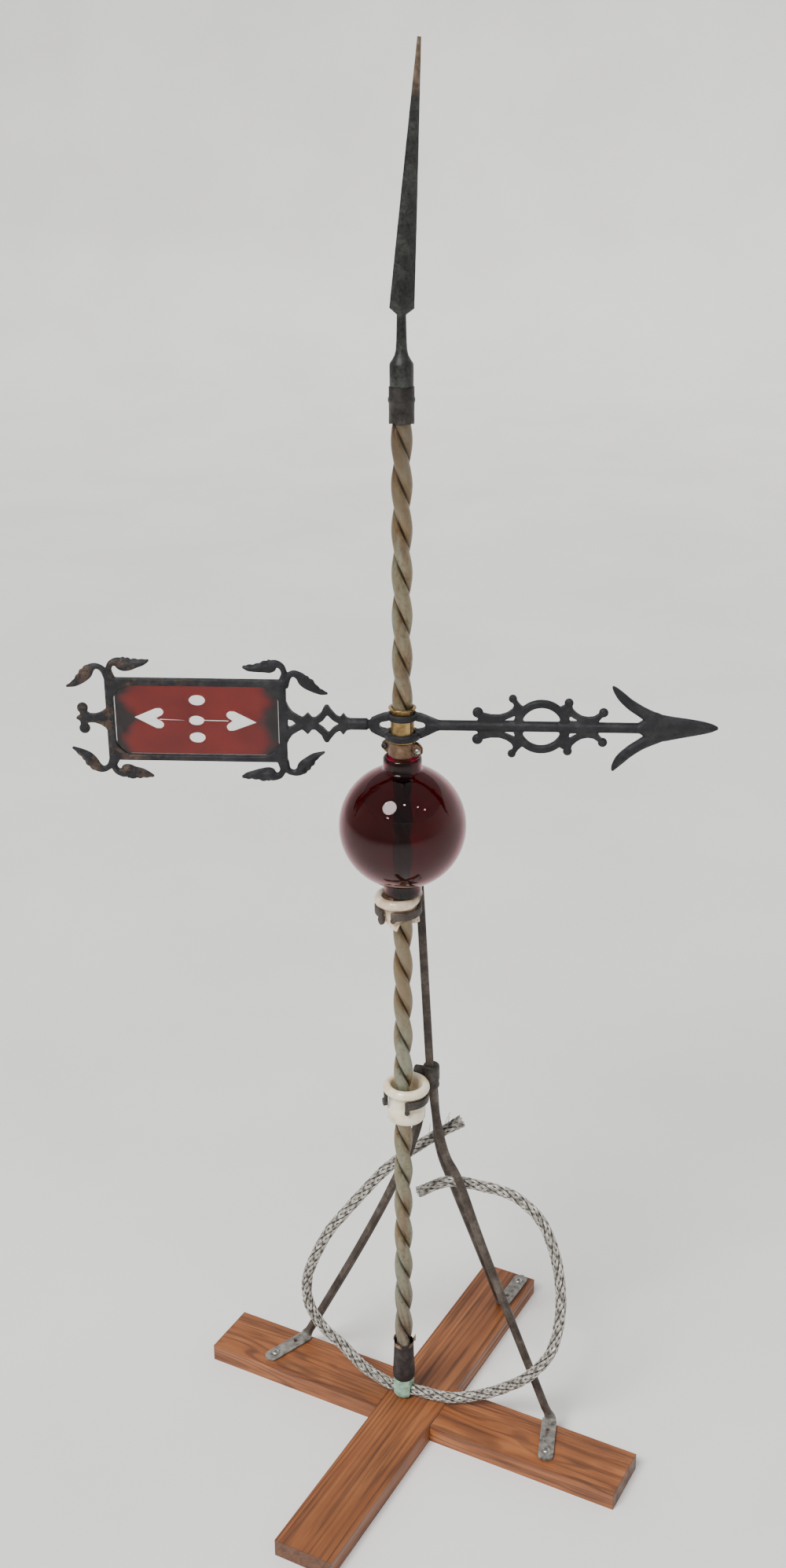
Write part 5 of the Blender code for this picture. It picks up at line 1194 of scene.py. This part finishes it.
def screw_head(name, seat, out, paint, radius, height, shank, depth):
    """Round-head screw with a cross recess, for the node of its name."""
    profile = [(0.0, height), (0.30 * radius, 0.985 * height), (0.62 * radius, 0.86 * height),
               (0.86 * radius, 0.58 * height), (0.97 * radius, 0.22 * height), (radius, 0.0), (shank, 0.0),
               (shank, -depth), (0.0, -depth)]
    turn = out.to_track_quat("Z", "Y").to_matrix().to_4x4()
    place = Matrix.Translation(seat) @ turn @ spun(0.5)
    head = from_shells(name + "_head", [moved(lathe(profile, 40), place)])
    outward(head.data, 0.000004)
    arm = 1.15 * radius
    slots = [moved(box_shell(size, (0, 0, height)), place) for size in
             ((arm, 0.24 * radius, 1.1 * height), (0.24 * radius, arm, 1.1 * height))]
    carve(head, slots)
    dress(head, paint, name, "bright_steel", 30)


# Clamp and brass sleeve

def build_clamp():
    """Two half bands with rolled ears, drawn together by a screw at each side."""
    inner = ROD_RADIUS + 0.0004
    outer = inner + 0.0029
    height = 0.0140
    split = 0.0007
    thick = 0.0024
    reach = 0.0068
    for name, turn in (("clamp_front", pi), ("clamp_back", 0.0)):
        rings = []
        steps = 40
        start = atan2(split, outer)
        for k in range(steps + 1):
            a = start + (pi - 2 * start) * k / steps
            rings.append([around(r, z, a) for r, z in
                          ((inner, 0.0), (outer, 0.0), (outer + 0.0002, 0.3 * height), (outer, 0.6 * height),
                           (outer - 0.0003, height - 0.0004), (outer - 0.0008, height), (inner, height))])
        shells = [grid(rings)]
        for sign in (1, -1):
            ear = []
            for k in range(9):
                s = k / 8
                x = sign * (outer - 0.0012 + (reach + 0.0012) * s)
                tall = height / 2 * (1 - 0.62 * s ** 2.2)
                depth = thick * (1 - 0.25 * s)
                bow = split + 0.0004 * sin(pi * s)
                ear.append([Vector((x, bow + d, height / 2 + z)) for d, z in
                            ((0, -tall), (depth * 0.8, -tall), (depth, -tall * 0.8), (depth, tall * 0.8),
                             (depth * 0.8, tall), (0, tall))])
            shells.append(grid(ear))
        place = at(0, 0, CLAMP_FOOT) @ spun(CLAMP_YAW + turn)
        band = fuse(name.replace("clamp", "clamp_band"), [moved(shell, place) for shell in shells], 0.00045, 3)
        dress(band, "clamp_copper", name, "clamp_copper", None)
    seat = split + thick + 0.0004
    for name, sign, paint in (("clamp_screw_right", 1, "screw_steel"), ("clamp_screw_left", -1, "dark_screw")):
        turn = spun(CLAMP_YAW)
        x = sign * (outer + 0.55 * reach)
        spot = turn @ Vector((x, -seat, 0.0))
        spot.z = CLAMP_FOOT + height / 2
        screw_head(name, spot, turn @ Vector((0, -1, 0)), paint,
                   radius=0.0031, height=0.0021, shank=0.0016, depth=0.0088)


def build_hub_sleeve():
    """Split brass sleeve with a flange at each end."""
    inner = ROD_RADIUS + 0.0004
    outer = inner + 0.0009
    height = HUB_SLEEVE_TOP - HUB_SLEEVE_FOOT
    top = HUB_BORE + 0.0014
    low = HUB_BORE + 0.0022
    profile = [(inner, height), (top - 0.0003, height), (top, height - 0.0003), (top, height - 0.0009),
               (top - 0.0003, height - 0.0012), (outer + 0.0003, height - 0.0012), (outer, height - 0.0016),
               (outer, 0.0016), (outer + 0.0003, 0.0012), (low - 0.0003, 0.0012), (low, 0.0009), (low, 0.0003),
               (low - 0.0003, 0.0), (inner, 0.0)]
    gap = 0.055
    turned = lathe(profile, 120, radians(-45) + gap, 2 * pi - 2 * gap)
    piece("brass_sleeve", [moved(turned, at(0, 0, HUB_SLEEVE_FOOT))],
          "brass", "hub_sleeve", "brass", 40)


# Arrow

LEAVES = [                      # spine of each leaf: along, up, half width, from its root to its tip, in mm
    [(-257, 39, 3.5), (-261, 47, 2.6), (-266.5, 50.2, 2.4), (-271.8, 48.4, 3.6), (-276, 43.8, 4.9),
     (-281, 38.7, 4.2), (-287, 34, 2.6), (-294.5, 31.2, 0.7)],
    [(-254.5, 39.5, 3.6), (-256, 46.5, 2.7), (-254.2, 52.3, 2.7), (-249.5, 54.2, 3.6), (-243.8, 52.6, 5.6),
     (-238, 52.2, 5.0), (-231.5, 53.2, 3.6), (-225.5, 54.3, 2.4), (-220.4, 56.3, 0.8)],
    [(-257, -36, 3.4), (-260.5, -43, 2.6), (-265.8, -46.4, 2.7), (-271.3, -44.6, 3.8), (-275.6, -40, 4.8),
     (-280, -34.5, 4.3), (-285.8, -30.3, 2.8), (-293, -26, 0.7)],
    [(-254.5, -36, 3.6), (-256.6, -42.5, 2.8), (-254.2, -47.8, 2.9), (-249.5, -49.3, 4.0), (-245, -47.9, 5.8),
     (-239, -49.2, 5.0), (-232.5, -49.8, 4.2), (-227, -51, 2.7), (-221.3, -52.6, 0.8)],
    [(-104, 39, 3.6), (-102.6, 46, 2.6), (-104.8, 52, 2.7), (-109.5, 54.3, 3.3), (-114.5, 52.3, 5.3),
     (-120.5, 51.4, 4.4), (-127, 50.4, 3.3), (-133.5, 50.4, 2.6), (-139, 51.2, 0.9)],
    [(-102.5, 33, 3.2), (-99, 43, 2.8), (-94.3, 45.7, 2.9), (-89.2, 43.3, 3.6), (-85.3, 39, 4.7),
     (-80.5, 35.3, 4.4), (-74.8, 31, 3.0), (-69.8, 28.8, 2.0), (-64.8, 27.7, 0.7)],
    [(-103.8, -36, 3.4), (-101.5, -44.5, 2.8), (-96, -47.1, 2.7), (-90.8, -45.3, 3.8), (-87.3, -41, 4.9),
     (-82.5, -36.3, 4.4), (-77.3, -31.4, 3.0), (-68.3, -26.9, 0.7)],
    [(-107, -37, 3.4), (-105.8, -44, 2.8), (-108.6, -49.6, 2.9), (-113.2, -50.6, 3.9), (-118, -49.0, 5.8),
     (-125, -49.3, 5.0), (-132, -49.8, 3.7), (-138, -50.8, 2.6), (-142.6, -52.0, 1.0)],
]
LEAF_BACK_LEFT = (True, False, False, True, True, False, True, False)
PLAIN = (0.0, 0.0, 2.0)         # scallops, their amount and their start, for a blade that has none


def blade(spine, depth, edge, back_left, scallops=4.5, amount=0.26, from_share=0.42):
    """A leaf with a rib: a smooth spine with half widths, thick in the middle and thin at its edges."""
    samples = catmull_rom([(x / 1000, z / 1000, w / 1000) for x, z, w in spine], 7)
    rings = []
    last = len(samples) - 1
    across = (-1, -0.82, -0.45, -0.12, 0.0, 0.12, 0.45, 0.82, 1)
    for i, sample in enumerate(samples):
        ahead = samples[min(i + 1, last)] - samples[max(i - 1, 0)]
        side = Vector((-ahead.y, ahead.x)).normalized()
        share = i / last
        wave = 0.0
        if share > from_share and share < 0.97:
            wave = amount * (abs(sin(scallops * pi * (share - from_share) / (1 - from_share))) - 0.55)
        full = sample.z * (1.0 + 0.13 * min(1.0, max(0.0, (share - 0.30) / 0.15)))
        left = full * (1.0 if back_left else 1.0 + wave)
        right = full * (1.0 + wave if back_left else 1.0)
        taper = 1.0 - 0.35 * share ** 3
        front = []
        for t in across:
            reach = left * t if t > 0 else right * t
            thick = (edge + (depth - edge) * (1 - abs(t) ** 2.2)) * taper / 2
            if share > from_share and abs(t) < 0.2:
                thick += 0.0005
            vein = 0.00035 * sin(26 * share + 5 * abs(t)) if share > from_share and 0.2 < abs(t) < 0.95 else 0.0
            front.append((sample.x + side.x * reach, thick + vein, sample.y + side.y * reach))
        rings.append([Vector((x, -y, z)) for x, y, z in front] + [Vector((x, y, z)) for x, y, z in front[::-1]])
    return grid(rings)


def knob(x, z, radius, depth):
    """A round boss with a domed face on both sides."""
    profile = [(0.0, depth / 2), (0.5 * radius, 0.47 * depth), (0.82 * radius, 0.36 * depth),
               (radius, 0.14 * depth), (radius, -0.14 * depth), (0.82 * radius, -0.36 * depth),
               (0.5 * radius, -0.47 * depth), (0.0, -depth / 2)]
    return moved(lathe(profile, 32), at(x, 0, z) @ spun(pi / 2, "X"))


def mm(points):
    """Flat points in millimetres, in metres."""
    return [(x / 1000, z / 1000) for x, z in points]


def curved(points, per_span=4):
    """A closed smooth outline through flat points."""
    padded = points[-2:] + points + points[:2]
    smooth = catmull_rom([(x, z, 0.0) for x, z in padded], per_span)
    return [(p.x, p.y) for p in smooth[2 * per_span:-2 * per_span - 1]]


def symmetric(half, low=None):
    """Close an upper half outline, given from left to right, with its mirror or another lower half."""
    under = low or [(x, -z) for x, z in half]
    return half + under[::-1]


def shaft(a, b, radius):
    """A round length of the shaft."""
    return tube([Vector((a, 0, 0)), Vector(((a + b) / 2, 0, 0)), Vector((b, 0, 0))], radius, 32)


def frame_shells():
    """Tail frame with its corner gussets, leaves and three-lobed end."""
    left = -0.2602
    right = -0.1015
    low = -0.0366
    high = 0.0396
    a = left + 0.0068
    b = right - 0.0068
    c = low + 0.0050
    d = high - 0.0060
    g = 0.0118
    m = 0.42 * g
    outer = [(left, low), (right, low), (right, high), (left, high)]
    opening = [(a, c + g), (a + m, c + m), (a + g, c), (b - g, c), (b - m, c + m), (b, c + g),
               (b, d - g), (b - m, d - m), (b - g, d), (a + g, d), (a + m, d - m), (a, d - g)]
    shells = [slab([outer, opening], 0.0064)]
    for spine, back in zip(LEAVES, LEAF_BACK_LEFT):
        shells.append(blade(spine, 0.0054, 0.0026, back))
    stem = mm([(-257, 13.5), (-262, 10), (-266, 7.4), (-271, 5.8), (-276, 6.2), (-279, 9.5), (-283, 8.6), (-284, 5),
               (-287.5, 2.4), (-284, -0.2), (-283.5, -3.6), (-279.5, -4.6), (-276, -1.8), (-271, -1.8),
               (-266, -3.4), (-262, -6), (-257, -9.5)])
    shells.append(slab([curved(stem, 3)], 0.0056))
    for x, z, r in ((-0.2814, 0.0114, 0.0049), (-0.2806, -0.0076, 0.0049)):
        shells.append(knob(x, z, r, 0.0064))
    return shells


def joint_shells():
    """Pierced web between the frame and the shaft."""
    half = mm([(-103.5, 20), (-101.0, 18.5), (-99.4, 14.7), (-96.4, 10.3), (-91.7, 7.3), (-87.8, 5.2), (-84.9, 7.8),
               (-83.0, 9.8), (-81.0, 7.6), (-79.1, 5.3), (-76.3, 5.4), (-70.9, 10.3), (-69.4, 14.2), (-67.6, 16.9),
               (-64.8, 16.9), (-61.9, 12.4), (-57.7, 7.5), (-54.6, 6.0), (-51.6, 9.9), (-48.6, 5.6), (-45, 4.6)])
    triangle = mm([(-100.4, 4.0), (-96.5, 2.9), (-92.8, -0.2), (-96.5, -2.8), (-100.4, -4.5)])
    star = mm([(-74.5, -0.2), (-69.3, 3.3), (-65.6, 8.4), (-60.9, 3.6), (-54.8, 0), (-60.7, -3.8), (-65.0, -8.6),
               (-69.3, -3.9)])
    return [slab([symmetric(half), triangle, star], 0.0058)]


def ornament_shells():
    """Ring round the shaft between two scrolled bodies with round knobs."""
    rings = []
    for k in range(72):
        a = 2 * pi * k / 72
        rings.append([Vector((0.1212 + r * cos(a), y, r * sin(a))) for r, y in
                      ((0.0248, 0.0), (0.0244, 0.0022), (0.0230, 0.0032), (0.0192, 0.0032), (0.0178, 0.0022),
                       (0.0174, 0.0), (0.0178, -0.0022), (0.0192, -0.0032), (0.0230, -0.0032), (0.0244, -0.0022))])
    shells = [grid(rings, loop=True)]
    left = mm([(65.5, 4.6), (66.5, 9.6), (70.7, 11.8), (77, 10.3), (85.2, 10.3), (91.2, 12.4), (95.6, 15.8),
               (97.0, 19.5), (95.4, 23), (99.0, 25), (101.8, 20.8), (104.4, 18.4), (105.4, 4.6)])
    right = mm([(137, 4.6), (137.4, 18.2), (141.6, 20.8), (144.4, 22.6), (147.4, 20.8), (148.4, 16.4), (152, 12.8),
                (156, 10.2), (161.8, 9), (167.2, 10), (171.6, 13.4), (175, 11.6), (172.2, 8.2), (170, 4.6)])
    for half, hole in ((left, mm([(86.2, 4.8), (97.5, 4.8), (98.5, 10.6)])),
                       (right, mm([(145.0, 11.2), (145.8, 5.1), (154.8, 5.1)]))):
        shells.append(slab([symmetric(half), hole, [(x, -z) for x, z in hole]], 0.0058))
    for x, z, r in ((65.7, 12.4, 4.8), (95.9, 25.5, 3.7), (144.5, 22.4, 4.0), (174.7, 13.8, 4.2)):
        for sign in (1, -1):
            shells.append(knob(x / 1000, sign * z / 1000, r / 1000, 0.0064))
    return shells


def head_shells():
    """Solid point, thick in the middle, with two swept barbs."""
    spine = [(206, 0.4, 4.8), (212, 0.4, 9.4), (219, 0.3, 14.4), (226, 0.2, 11.4), (234, 0.3, 9.4), (247, 0.8, 7.4),
             (259, 1.0, 5.4), (268, 1.0, 3.4), (274, 1.0, 0.9)]
    shells = [blade(spine, 0.0086, 0.0036, True, *PLAIN)]
    upper = [(225, 5.5, 6.0), (214, 11.2, 5.4), (205, 16.6, 4.6), (197, 22.0, 3.9), (190, 28.4, 3.5),
             (185, 34.0, 2.4), (181.6, 38.0, 0.9)]
    lower = [(225, -6.0, 6.0), (214, -11.4, 5.4), (205, -17.0, 4.6), (197.5, -22.6, 4.1), (191, -29.0, 3.9),
             (186.4, -35.4, 2.6), (184.0, -40.0, 0.9)]
    return shells + [blade(barb, 0.0078, 0.0036, True, *PLAIN) for barb in (upper, lower)]


def hub_shells():
    """Two rings round the brass sleeve, carried by a web with an open window."""
    shells = []
    for low, high, outer in ((0.0052, 0.0114, HUB_BORE + 0.0022), (-0.0125, -0.0063, HUB_BORE + 0.0052)):
        profile = [(HUB_BORE, low), (outer - 0.0008, low), (outer, low + 0.0010), (outer, high - 0.0010),
                   (outer - 0.0008, high), (HUB_BORE, high)]
        shells.append(lathe(profile, 72))
    near = 0.0114               # where the web meets the rings
    window = arc((0.0166, -0.0002), 0.0036, -pi / 2, pi / 2, 12)
    body = [(0.0220, 0.0080), (0.0160, 0.0104), (near, 0.0110), (near, 0.0046), *window[::-1],
            (near, -0.0050), (near, -0.0116), (0.0170, -0.0114), (0.0240, -0.0080)]
    right = [(0.0350, 0.0030), (0.0290, 0.0050), *body, (0.0300, -0.0048), (0.0350, -0.0030)]
    left = [(0.0288, 0.0026), (0.0272, 0.0056), *body, (0.0276, -0.0058), (0.0288, -0.0026)]
    shells.append(slab([right], 0.0076))
    shells.append(slab([[(-x, z) for x, z in left]], 0.0076))
    return shells


def build_arrow():
    """The cast arrow, melted into one body."""
    shells = [*frame_shells(), *joint_shells(), *ornament_shells(), *head_shells(), *hub_shells()]
    shells += [shaft(-0.0480, -0.0306, 0.0053), shaft(-0.0315, -0.0215, 0.0040), shaft(0.0215, 0.2120, 0.0047)]
    place = at(0, 0, HUB_HEIGHT) @ spun(VANE_YAW)
    casting = fuse("vane_casting", shells, 0.00070, 3, 0.5)
    casting.data.transform(place)
    dress(casting, "black_casting", "arrow_casting", "cast_iron", None, "vane")
    build_pane(place)


def heart(tip, notch, lobes, reach):
    """A heart that lies on its side: its tip, the notch between its lobes and their centres."""
    side = 1 if reach > tip[0] else -1
    (x1, z1), (x2, z2) = lobes
    r = 3.4
    upper = [(x1 - side * 3.2, z1 + 3.3), (x1 + side * 1.0, z1 + r), (reach - side * 0.4, z1 + 1.5),
             (reach, z1 - 0.8), (reach - side * 1.4, z1 - 2.8)]
    lower = [(reach - side * 1.4, z2 + 2.8), (reach, z2 + 0.8), (reach - side * 0.4, z2 - 1.5),
             (x2 + side * 1.0, z2 - r), (x2 - side * 3.2, z2 - 3.3)]
    return mm([tip, *upper, notch, *lower])


def oval(x, z, wide, tall, seed):
    """An uneven oval."""
    points = []
    for k in range(28):
        a = 2 * pi * k / 28
        wobble = 1 + 0.05 * noise.noise(Vector((cos(a) * 1.6, sin(a) * 1.6, seed)))
        points.append((x + wide / 2 * wobble * cos(a), z + tall / 2 * wobble * sin(a)))
    return mm(points)


def build_pane(place):
    """Clear pane with a thin ruby skin on its front, cut through by hearts, ovals and a fine line."""
    left, right, low, high = -0.2523, -0.1088, -0.0302, 0.0335
    block = from_shells("pane_clear", [box_shell((right - left, 0.0028, high - low),
                                                 ((left + right) / 2, 0.0001, (low + high) / 2))])
    edge = block.modifiers.new("edge", "BEVEL")
    edge.width = 0.0004
    edge.segments = 2
    applied(block)
    block.data.transform(place)
    dress(block, "clear_glass", "glass_pane", "ruby_glass", 40, "vane")
    rim = 0.0002
    outline = [(left + rim, low + rim), (right, low + rim), (right, high), (left + rim, high)]
    line = mm([(-213.4, 2.45), (-186.6, 2.2), (-186.6, 1.5), (-213.4, 1.75)])
    line_right = mm([(-174.0, 2.05), (-152.6, 1.75), (-152.6, 1.15), (-174.0, 1.45)])
    holes = [heart((-235.4, 3.9), (-216.6, 3.1), ((-213.2, 9.1), (-213.3, -2.8)), -209.7),
             heart((-127.9, 0.4), (-148.9, 1.5), ((-150.4, 7.1), (-151.2, -4.2)), -154.2),
             oval(-179.6, 20.4, 14.2, 9.4, 1.0), oval(-180.7, 1.5, 13.4, 8.6, 2.0),
             oval(-180.5, -14.4, 14.0, 9.4, 3.0)]
    skin = slab([outline, *holes, line, line_right], 0.00012)
    piece("pane_ruby", [moved(skin, place @ at(0, -0.00148, 0))], "flashed_ruby", None, "ruby_glass", 40, "vane")


def build_cross():
    """The oak boards of the frame, with eased edges and their own grain."""
    for name, paint in (("cross_plank_a", "oak_a"), ("cross_plank_b", "oak_b")):
        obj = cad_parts[name]
        obj.data.materials.clear()
        obj.data.materials.append(PAINTS[paint].material)
        ease = obj.modifiers.new("ease", "BEVEL")
        ease.width = 0.0009
        ease.segments = 3
        ease.limit_method = "ANGLE"
        ease.angle_limit = radians(50)


set_camera()
paint_metals()
paint_rod()
paint_fitting()
paint_porcelain()
paint_casting()
paint_cable()
paint_glass()
paint_oak("oak_a", CROSS_YAW, 46.0, 2.4, (0.9, 6.0, 6.0))
paint_oak("oak_b", CROSS_YAW + pi / 2, 52.0, 1.0, (0.35, 6.0, 6.0))
build_cable("cable_left", ROUTE_LEFT, -1, True)
build_cable("cable_right", ROUTE_RIGHT, 1, False)
set_lights()
set_floor()
build_cross()
build_fitting()
build_rod()
build_point()
build_insulators()
build_ball()
build_bracket()
build_legs()
build_clamp()
build_hub_sleeve()
build_arrow()
